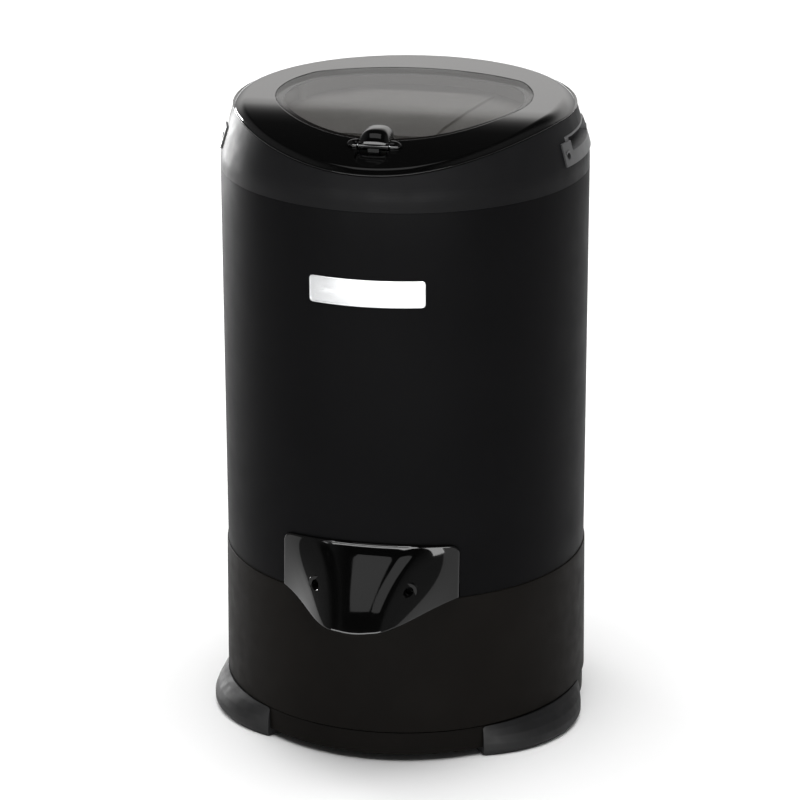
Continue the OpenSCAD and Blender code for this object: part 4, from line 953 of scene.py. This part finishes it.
        # radius and depth of each ring; no depth stands for the lid's surface
        rings = [(out, -5.6), (out, None), (out - 0.6, None), (out - 0.95, -0.5), (out - 1.1, -2.4),
                 (out - 1.7, -3.3), (out - 3.0, -3.85), (out - 5.0, -4.0), (out - 9.0, -4.05),
                 (0.3, -4.05), (0.3, -5.6)]
        loops = []
        for r, depth in rings:
            p = centre + np.outer(r * np.cos(a), [1.0, 0.0, 0.0]) + np.outer(r * np.sin(a), side)
            if depth is None:
                p[:, 2] = Skin.top(p[:, 0], p[:, 1]) + (0.02 if r == out else -0.02)
            else:
                p = p + depth * axis
                p[:, 2] = np.minimum(p[:, 2], Skin.top(p[:, 0], p[:, 1]) - 0.3)
            loops.append(p)
        obj = MeshMaker.loft("lid_well", np.stack(loops), True, 40)
        MeshMaker.cut(obj, [self._slot_cutter()], 40)
        return obj

    def ears(self) -> list[Object]:
        """The two humps that hold the latch's pin; each thins outwards as a quarter ellipse."""
        made, pin = [], (0, -S.latch_y, S.latch_z)
        for name, side in (("lid_ear_left", -1), ("lid_ear_right", 1)):
            profile = [(0, S.slot_half), (4.6, S.slot_half), (self.pin_r, S.slot_half + 0.4)]
            profile += [(self.pin_r * math.cos(b), S.slot_half + 0.6 + self.ear_w * math.sin(b))
                        for b in np.linspace(0.08, math.pi / 2, 16)]
            made.append(MeshMaker.rod(name, profile, pin, (side, 0, 0), 48, 40))
        return made

    def window(self) -> Object:
        """The flush smoked window.

        Each ring is the outline scaled about the middle or moved inwards, laid on the lid's
        surface: up the face to a small chamfer at the edge, then back under it.

        Returns:
            The pane.
        """
        edge, middle = WINDOW.outline(-0.4), np.array(self.pane_middle)

        def lay(line: np.ndarray, off: float, drop: float = 0.0) -> np.ndarray:
            """Puts a plan line on the surface off above the parting one, less a drop."""
            return np.column_stack([line, Skin.surface(-line[:, 1], off) - drop])

        face = np.concatenate([[0.004], np.linspace(0.08, 0.96, 12), [0.99]])
        rows = [lay(middle + (edge - middle) * share, S.lid_h) for share in face]
        rows += [lay(WINDOW.outline(grow), S.lid_h, drop)
                 for grow, drop in ((-1.0, 0.0), (-0.62, 0.08), (-0.4, 0.4))]
        rows.append(lay(edge, S.lid_h - self.pane))
        rows += [lay(middle + (edge - middle) * share, S.lid_h - self.pane)
                 for share in (0.9, 0.5, 0.004)]
        return MeshMaker.loft("window_pane", np.stack(rows), False, 35)

    def latch(self) -> Object:
        """The latch: a pillow-shaped tab over its knuckle, and the hook below.

        The tab's side view is a smooth closed curve. Across the tab its height above the pin
        shrinks by (1 - |u|^2.6)^(1 / 2.6), so that the tab looks like an arch from the front.

        Returns:
            The three in one mesh.
        """

        def across(x: float, ring: np.ndarray) -> np.ndarray:
            """Places a side view at x, with its origin on the latch's pin."""
            return np.column_stack([np.full(len(ring), x), ring[:, 0] - S.latch_y,
                                    ring[:, 1] + S.latch_z])

        side = Line.curve(np.array(self.tab_line), 5)
        middle = np.array([6.5, 7.2])
        loops = []
        for value in np.sin(np.linspace(-math.pi / 2, math.pi / 2, 33)) * 0.9995:
            size = (1 - abs(value) ** self.tab_power) ** (1 / self.tab_power)
            ring = middle + (side - middle) * (0.6 + 0.4 * size)
            ring[:, 1] = 0.5 + (side[:, 1] - 0.5) * size
            loops.append(across(value * self.tab_half, ring))
        tab = MeshMaker.loft("latch_tab", np.stack(loops), False, 45)
        barrel = [(0, -13.9), (4.2, -13.9), (4.6, -13.5), (4.6, 13.5), (4.2, 13.9), (0, 13.9)]
        knuckle = MeshMaker.rod("knuckle", barrel, (0, -S.latch_y, S.latch_z), (1, 0, 0), 48, 40)
        arm = Line.fillet(list(self.hook_line), list(self.hook_radii))
        centre = arm.mean(0)
        parts = [across(x, centre + (arm - centre) * (1 - inset / 12))
                 for x, inset in ((-5.0, 0.5), (-4.5, 0.0), (4.5, 0.0), (5.0, 0.5))]
        hook = MeshMaker.loft("hook", np.stack(parts), False, 40)
        return MeshMaker.join("latch_tab", [tab, knuckle, hook], 40)

    def pieces(self) -> list[Piece]:
        """All of the lid's pieces."""
        made = [Piece(self.shell(), "lid", "gloss_black", ("lid_shell",)),
                Piece(self.well(), "lid", "gloss_black"),
                Piece(self.window(), "lid", "smoked_window", ("lid_window",)),
                Piece(self.latch(), "latch", "gloss_black", ("latch_lever",))]
        return made + [Piece(ear, "lid", "gloss_black") for ear in self.ears()]


@dataclass(frozen=True)
class Body:
    """Casing, lower ring, nameplate and feet; sizes in mm."""

    steps: int = 288
    longest: float = 40.0  # longest part of a turned outline
    pan_lip: float = 165.4
    plate_below: float = 74.5  # the plate's middle under the casing's top
    plate_w: float = 107.0
    plate_h: float = 25.0
    plate_corner: float = 3.2
    plate_gap: float = 0.15
    # inset and lift of the plate's rings: its side, its raised rim, and its field
    plate_rings: tuple = ((0.3, 0.0), (0.0, 0.1), (0.0, 0.5), (0.12, 0.7), (0.4, 0.8), (1.2, 0.8),
                          (1.45, 0.72), (1.6, 0.55), (4.0, 0.55), (9.0, 0.55), (12.3, 0.55))
    foot_half: float = 24.5  # half of a foot's arc, degrees
    foot_rows: int = 60
    foot_toe: float = 188.0
    foot_middle: tuple = (172.0, 9.0)
    plan_off: float = 85.0  # the foot's plan is a circle about a point off the axis
    plan_r: float = 103.0
    end_round: float = 2.0

    def casing(self) -> Object:
        """The painted sheet tube, with its two rims softly rolled."""
        r, w = S.body_r, S.casing_wall
        low = S.seam_z + 0.05
        outline = Line.fillet([[r - w, low], [r, low], [r, S.casing_top], [r - w, S.casing_top]],
                              [0.2, 0.55, 0.55, 0.2])
        return MeshMaker.turned("casing_skin", Line.split(outline, self.longest), self.steps)

    def ring(self) -> Object:
        """The moulded lower ring: slightly conical, with a bead at its top seam."""
        b, s, g = S.body_r, S.seam_z, S.groove_z + S.groove_gap / 2
        pts = [[self.pan_lip, g], [b + 2.3, g], [b + 1.05, s - 4.0], [b + 0.9, s], [b - 1.5, s],
               [b - 1.5, s + 7.5], [b - 4.5, s + 7.5], [b - 4.5, s - 3], [b - 2.6, s - 6],
               [b - 0.7, g + 5.4], [self.pan_lip, g + 3.4]]
        outline = Line.fillet(pts, [0.2, 0.7, 3.0, 0.8, 0.2, 0.5, 0.5, 0.3, 1, 1, 0.5], 6)
        return MeshMaker.turned("lower_ring_skin", Line.split(outline, self.longest), self.steps)

    def plate(self) -> Object:
        """The blank plate: a rounded rectangle bent round the casing, with a raised rim.

        Each ring of the plate is the outline moved inwards by an inset and lifted off the casing.

        Returns:
            The plate.
        """
        base = S.body_r + self.plate_gap
        rows = []
        for inset, lift in self.plate_rings:
            hw, hh = self.plate_w / 2 - inset, self.plate_h / 2 - inset
            c = max(self.plate_corner - inset, 0.15)
            outline = []
            for cx, cy, a0 in ((hw - c, hh - c, 0), (c - hw, hh - c, 90), (c - hw, c - hh, 180),
                               (hw - c, c - hh, 270)):
                a = np.radians(a0 + np.linspace(0, 90, 9))
                outline.append(np.stack([cx + c * np.cos(a), cy + c * np.sin(a)], 1))
            line = Line.even(np.concatenate(outline), 120)
            ang = line[:, 0] / base
            rows.append(np.column_stack([(base + lift) * np.sin(ang), -(base + lift) * np.cos(ang),
                                         S.casing_top - self.plate_below + line[:, 1]]))
        return MeshMaker.loft("name_plate_blank", np.stack(rows), False, 35)

    def foot(self, name: str, centre_deg: float) -> Object:
        """One rubber foot, lofted along its arc.

        The side view is scaled towards the band where the foot's plan circle draws in, and shrinks
        over the last millimetres along a quarter circle, so that its ends are rounded.

        Args:
            name: the foot's name.
            centre_deg: where it stands, degrees from the front.

        Returns:
            The foot.
        """
        inner = S.body_r + 0.8 + 0.4
        toe, soft, rows = self.foot_toe, self.end_round, self.foot_rows
        shape = Line.fillet([[140, 0], [184, 0], [toe, 5], [toe, 11.8], [184.4, 18.8], [178.1, 25],
                             [172.9, 29.0], [inner, 29.0], [inner, 8], [140, 8]],
                            [1.2, 2.5, 3, 5, 6, 6, 1.0, 0.4, 0.3, 1.2])
        shape = Line.split(shape, 6.0)
        half = math.radians(self.foot_half)
        mid = np.array(self.foot_middle)
        loops = []
        for i in range(rows + 1):
            d = -half + 2 * half * i / rows
            reach = self.plan_off * math.cos(d)
            reach += math.sqrt(self.plan_r ** 2 - (self.plan_off * math.sin(d)) ** 2)
            ring = shape.copy()
            out = ring[:, 0] > inner
            ring[out, 0] = inner + (ring[out, 0] - inner) * (reach - inner) / (toe - inner)
            gap = min(i, rows - i) * 2 * half / rows * 180.0
            if gap < soft:
                drawn_in = soft - math.sqrt(max(0.0, soft ** 2 - (soft - gap) ** 2))
                ring = mid + (ring - mid) * (1 - drawn_in / 26)
            ang = math.radians(centre_deg) + d
            loops.append(np.column_stack([ring[:, 0] * math.sin(ang), -ring[:, 0] * math.cos(ang),
                                          ring[:, 1]]))
        return MeshMaker.loft(name, np.stack(loops), False, 38)

    def pieces(self) -> list[Piece]:
        """All of the body's pieces."""
        made = [Piece(self.casing(), "root", "black_paint", ("casing",)),
                Piece(self.ring(), "root", "base_plastic", ("lower_ring",)),
                Piece(self.plate(), "root", "plate_silver", ("nameplate",))]
        for side, deg in (("left", -61), ("right", 61), ("rear", 180)):
            foot = self.foot("foot_pad_" + side, deg)
            made.append(Piece(foot, "root", "black_rubber", ("foot_" + side,)))
        return made


@dataclass(frozen=True)
class Spout:
    """The outlet's hood, from the construction model's formulas, with finer rows; sizes in mm."""

    half: float = S.spout_half
    top_z: float = S.nose_top
    low_z: float = S.nose_low
    lip: float = 2.6
    lip_slope: float = 0.31
    nose: float = 63.9
    valley_deep: float = 3.2
    corner: float = 8.0
    edge_round: float = 1.4
    screw_x: float = 43.3
    screw_z: float = 182.7
    cols: int = 161
    rows: int = 65

    def bell(self, x: np.ndarray) -> np.ndarray:
        """How much of the nose is left at a distance from the middle: exp(-(|x| / 58)^2.9)."""
        return np.exp(-(np.abs(x) / (0.707 * self.half)) ** 2.9)

    def reach(self, z: np.ndarray) -> np.ndarray:
        """How far the nose stands out at a height: a steep lip, then a sine growing downwards."""
        under = self.top_z - self.lip
        t = np.clip((under - z) / (under - self.low_z), 0, 1)
        lip = self.lip_slope * np.clip(self.top_z - z, 0, self.lip)
        return lip + self.nose * np.sin(math.radians(79) * t) ** 1.2

    def valley(self, x: np.ndarray, z: np.ndarray) -> np.ndarray:
        """Depth of the valley down the middle.

        Its half width narrows downwards from 46 to 20 mm, with a soft edge 15 mm wide, and it fades
        over the topmost 12 mm.

        Args:
            x: distance from the middle, mm.
            z: height, mm.

        Returns:
            The depth, mm.
        """
        share = np.clip((z - self.low_z) / (self.top_z - self.low_z), 0, None)
        width = 20 + 26 * share ** 2.2
        edge, top = ease((width - np.abs(x)) / 15 + 0.5), ease((self.top_z - z) / 12)
        return self.valley_deep * edge * top

    def edges(self, x: np.ndarray) -> tuple[np.ndarray, np.ndarray]:
        """Lower and upper border at a distance from the middle; the upper corners are rounded."""
        c, away = self.corner, np.abs(x)
        d = np.maximum(away - (self.half - c), 0)
        drop = c - np.sqrt(np.maximum(c * c - d * d, 0))
        upper = self.top_z - 3.7 * (x / self.half) ** 2 - drop
        return self.low_z + 11 * (away / self.half) ** 1.5, upper

    def hood(self) -> Object:
        """Front and back sheets on one grid, joined round their borders.

        Near a border the front dips along a quarter circle.

        Returns:
            The hood, with its two screw sockets.
        """
        cols, rows = self.cols, self.rows
        x = self.half * np.sin(np.linspace(-math.pi / 2, math.pi / 2, cols))
        low, high = self.edges(x)
        v = 0.5 - 0.5 * np.cos(np.linspace(0, math.pi, rows))
        v = 0.35 * v + 0.65 * np.linspace(0, 1, rows)
        low, high = low[:, None], high[:, None]
        across = np.repeat(x[:, None], rows, 1)
        up = low + (high - low) * v[None, :]
        body, bell = np.sqrt(S.body_r ** 2 - across ** 2), self.bell(across)
        front = body + 3 + self.reach(up) * bell - self.valley(across, up)
        near = np.minimum(np.minimum(up - low, high - up), self.half - np.abs(across))
        t = np.clip(1 - near / self.edge_round, 0, 1)
        front = front - self.edge_round * (1 - np.sqrt(1 - t * t))
        back = np.maximum(body - 2 + np.maximum(self.reach(up) - 2, 0) * bell,
                          np.sqrt(170.75 ** 2 - across ** 2))
        back = np.minimum(back, front - 0.6)
        n = cols * rows
        pts = np.concatenate([np.stack([across, -sheet, up], 2).reshape(-1, 3)
                              for sheet in (front, back)])
        faces = [quad for base in (0, n) for quad in MeshMaker.grid(cols, rows, False, False, base)]
        index = np.arange(n).reshape(cols, rows)
        rim = np.concatenate([index[:, 0], index[-1, 1:], index[-2::-1, -1], index[0, -2:0:-1]])
        after = np.roll(rim, -1)
        faces += np.stack([rim, after, n + after, n + rim], 1).tolist()
        obj = MeshMaker.make("outlet_hood", pts, faces, 40)
        seat = math.sqrt(S.body_r ** 2 - self.screw_x ** 2) + 3.4
        bosses, sockets = [], []
        for side in (-1, 1):
            at = (side * self.screw_x, 0, self.screw_z)
            for made, r, start, end in ((bosses, 7, -2.5, 22), (sockets, 4.0, 0, 50)):
                made.append(MeshMaker.rod("cutter", [(r, seat + start), (r, seat + end)], at,
                                          (0, -1, 0), 48))
        MeshMaker.cut(obj, bosses, 40, "UNION")
        MeshMaker.cut(obj, sockets, 40)
        return obj

    def pieces(self) -> list[Piece]:
        """The hood."""
        return [Piece(self.hood(), "root", "gloss_black", ("outlet_spout",))]


# ---- the whole machine


class Machine:
    """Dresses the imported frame: finer pieces, then a material for every node."""

    def __init__(self) -> None:
        self.palette = Palette()
        self.slots = {s["node"]: s["material_slot"] for s in frame["record"]["subparts"]}

    def dress(self) -> None:
        """Builds every piece and gives the nodes their materials."""
        for maker in (Body(), Spout(), Lid()):
            for piece in maker.pieces():
                self.place(piece)
        for name, node in frame["nodes"].items():
            MeshMaker.smooth(node, 30)
            self.coat(node, self.slots[name])

    def coat(self, obj: Object, slot: str) -> None:
        """Gives an object the material of a slot."""
        obj.data.materials.clear()
        obj.data.materials.append(self.palette.get(slot))

    def place(self, piece: Piece) -> None:
        """Gives a piece its material, its body and the nodes that it stands for."""
        self.coat(piece.obj, piece.slot)
        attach(piece.obj, piece.body)
        if piece.replaces:
            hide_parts(*piece.replaces)
        LOG.info("%s: %d faces", piece.obj.name, len(piece.obj.data.polygons))


# ---- camera and light


@dataclass(frozen=True)
class Panel:
    """A soft rectangular light: sizes and places in m, power in watts."""

    name: str
    place: tuple
    aim: tuple
    size: tuple
    power: float
    mirrored: bool = False  # whether it only shows as a reflection

    def build(self) -> None:
        """Sets the light up, facing its aim."""
        data = bpy.data.lights.new(self.name, "AREA")
        data.shape, data.energy = "RECTANGLE", self.power
        data.size, data.size_y = self.size
        obj = bpy.data.objects.new(self.name, data)
        bpy.context.scene.collection.objects.link(obj)
        obj.visible_diffuse = not self.mirrored
        obj.location = self.place
        facing = Vector(self.aim) - Vector(self.place)
        obj.rotation_euler = facing.to_track_quat("-Z", "Y").to_euler()


@dataclass(frozen=True)
class Studio:
    """Camera, floor and light; lengths in mm, angles in degrees, unless a name says otherwise."""

    image: int = 800
    sensor: float = 36.0
    focal_px: float = 3373.0
    distance: float = 3000.0
    height: float = 1378.0
    azimuth: float = 12.0
    pitch: float = 19.84
    roll: float = 0.156
    aim_px: float = 6.1  # the axis stands this far right of the picture's middle
    floor_r_m: float = 14.0
    sun_power: float = 3.6
    sun_angle: float = 70.0
    # brightness of the wall by the sine of a direction's elevation
    wall: tuple = ((0.35, 0.85), (0.42, 0.46), (0.48, 0.2), (0.54, 0.08), (0.62, 0.02), (1.0, 0.0))
    panels: tuple = (
        Panel("left", (-2.1, 1.7, 0.3), (0, 0, 0.3), (1.0, 0.55), 50),
        Panel("soft_top", (-0.25, -0.85, 2.6), (-0.25, -0.85, 0), (1.05, 1.4), 5.4),
        Panel("front_strip", (0.26, -3.69, 0.66), (0, 0, 0.55), (6.0, 1.3), 245, True),
    )

    def camera(self) -> None:
        """Places the camera at the photograph's viewing angle, aimed a little beside the axis."""
        data = bpy.data.cameras.new("camera")
        data.sensor_width = self.sensor
        data.lens = self.focal_px / self.image * data.sensor_width
        data.clip_start, data.clip_end = 0.1, 60.0
        cam = bpy.data.objects.new("camera", data)
        bpy.context.scene.collection.objects.link(cam)
        az = math.radians(self.azimuth)
        cam.location = (self.distance * math.sin(az) * MM,
                        (AXIS_Y - self.distance * math.cos(az)) * MM, self.height * MM)
        # the camera looks down its own -Z: first roll, then pitch, then turn
        yaw = az + math.atan(self.aim_px / self.focal_px)
        tilt, roll = math.radians(90 - self.pitch), math.radians(-self.roll)
        turn = Matrix.Rotation(yaw, 4, "Z") @ Matrix.Rotation(tilt, 4, "X")
        cam.rotation_euler = (turn @ Matrix.Rotation(roll, 4, "Z")).to_euler()
        bpy.context.scene.camera = cam

    def floor(self) -> None:
        """A plain pale floor, a hair below the feet."""
        mesh = bpy.data.meshes.new("floor")
        a, r = np.linspace(0, TURN, 96, endpoint=False), self.floor_r_m
        pts = np.column_stack([r * np.cos(a), r * np.sin(a), np.full(len(a), -0.0002)])
        mesh.from_pydata(pts.tolist(), [], [tuple(range(len(a)))])
        obj = bpy.data.objects.new("floor", mesh)
        bpy.context.scene.collection.objects.link(obj)
        obj.data.materials.append(FLOOR.build())

    def sky(self) -> None:
        """An even soft light from straight above: it makes the floor white but isn't mirrored."""
        data = bpy.data.lights.new("overhead", "SUN")
        data.energy, data.angle = self.sun_power, math.radians(self.sun_angle)
        obj = bpy.data.objects.new("overhead", data)
        obj.visible_glossy = False
        bpy.context.scene.collection.objects.link(obj)

    def world(self) -> None:
        """The room: dark, with a pale wall low down behind the machine and dim walls beside it.

        The back wall's brightness is a curve of a direction's height, times an eased step from
        front to back. The side walls only show where a direction points well to one side.
        """
        world = bpy.data.worlds.new("room")
        bpy.context.scene.world = world
        world.use_nodes = True
        tree = Nodes(world.node_tree)
        place = tree.add("ShaderNodeTexCoord")
        split = tree.add("ShaderNodeSeparateXYZ", Vector=place.outputs["Generated"])
        ramp = tree.add("ShaderNodeValToRGB", Fac=split.outputs["Z"])
        stops = ramp.color_ramp.elements
        stops[0].position, stops[0].color = 0.0, (0.3, 0.3, 0.3, 1)
        stops[1].position, stops[1].color = 0.25, (0.9, 0.89, 0.88, 1)
        for at, value in self.wall:
            stops.new(at).color = (value, value * 0.985, value * 0.97, 1)
        back = tree.add("ShaderNodeMapRange", interpolation_type="SMOOTHSTEP",
                        Value=split.outputs["Y"], From_Min=0.45, From_Max=1.0, To_Max=1.6)
        wall = tree.nodes["Background"]
        tree.put(wall.inputs["Color"], ramp.outputs["Color"])
        tree.put(wall.inputs["Strength"], back.outputs["Result"])
        apart = tree.add("ShaderNodeMath", operation="ABSOLUTE", Value=split.outputs["X"])
        side = tree.add("ShaderNodeMapRange", interpolation_type="SMOOTHSTEP",
                        Value=apart.outputs["Value"], From_Min=0.35, From_Max=0.8,
                        To_Min=0.015, To_Max=0.3)
        beside = tree.add("ShaderNodeBackground", Strength=side.outputs["Result"])
        both = tree.add("ShaderNodeAddShader")
        for socket, light in zip(both.inputs, (wall, beside)):
            tree.put(socket, light.outputs["Background"])
        tree.put(tree.nodes["World Output"].inputs["Surface"], both.outputs["Shader"])

    def build(self) -> None:
        """Sets up everything round the machine."""
        self.camera()
        self.floor()
        self.world()
        self.sky()
        for panel in self.panels:
            panel.build()
        view = bpy.context.scene.view_settings
        view.view_transform, view.look = "Standard", "None"


def main() -> None:
    """Builds the scene."""
    logging.basicConfig(level=logging.INFO, format="%(name)s: %(message)s")
    Studio().build()
    Machine().dress()
    bpy.context.view_layer.update()


if __name__ == "__main__":
    main()
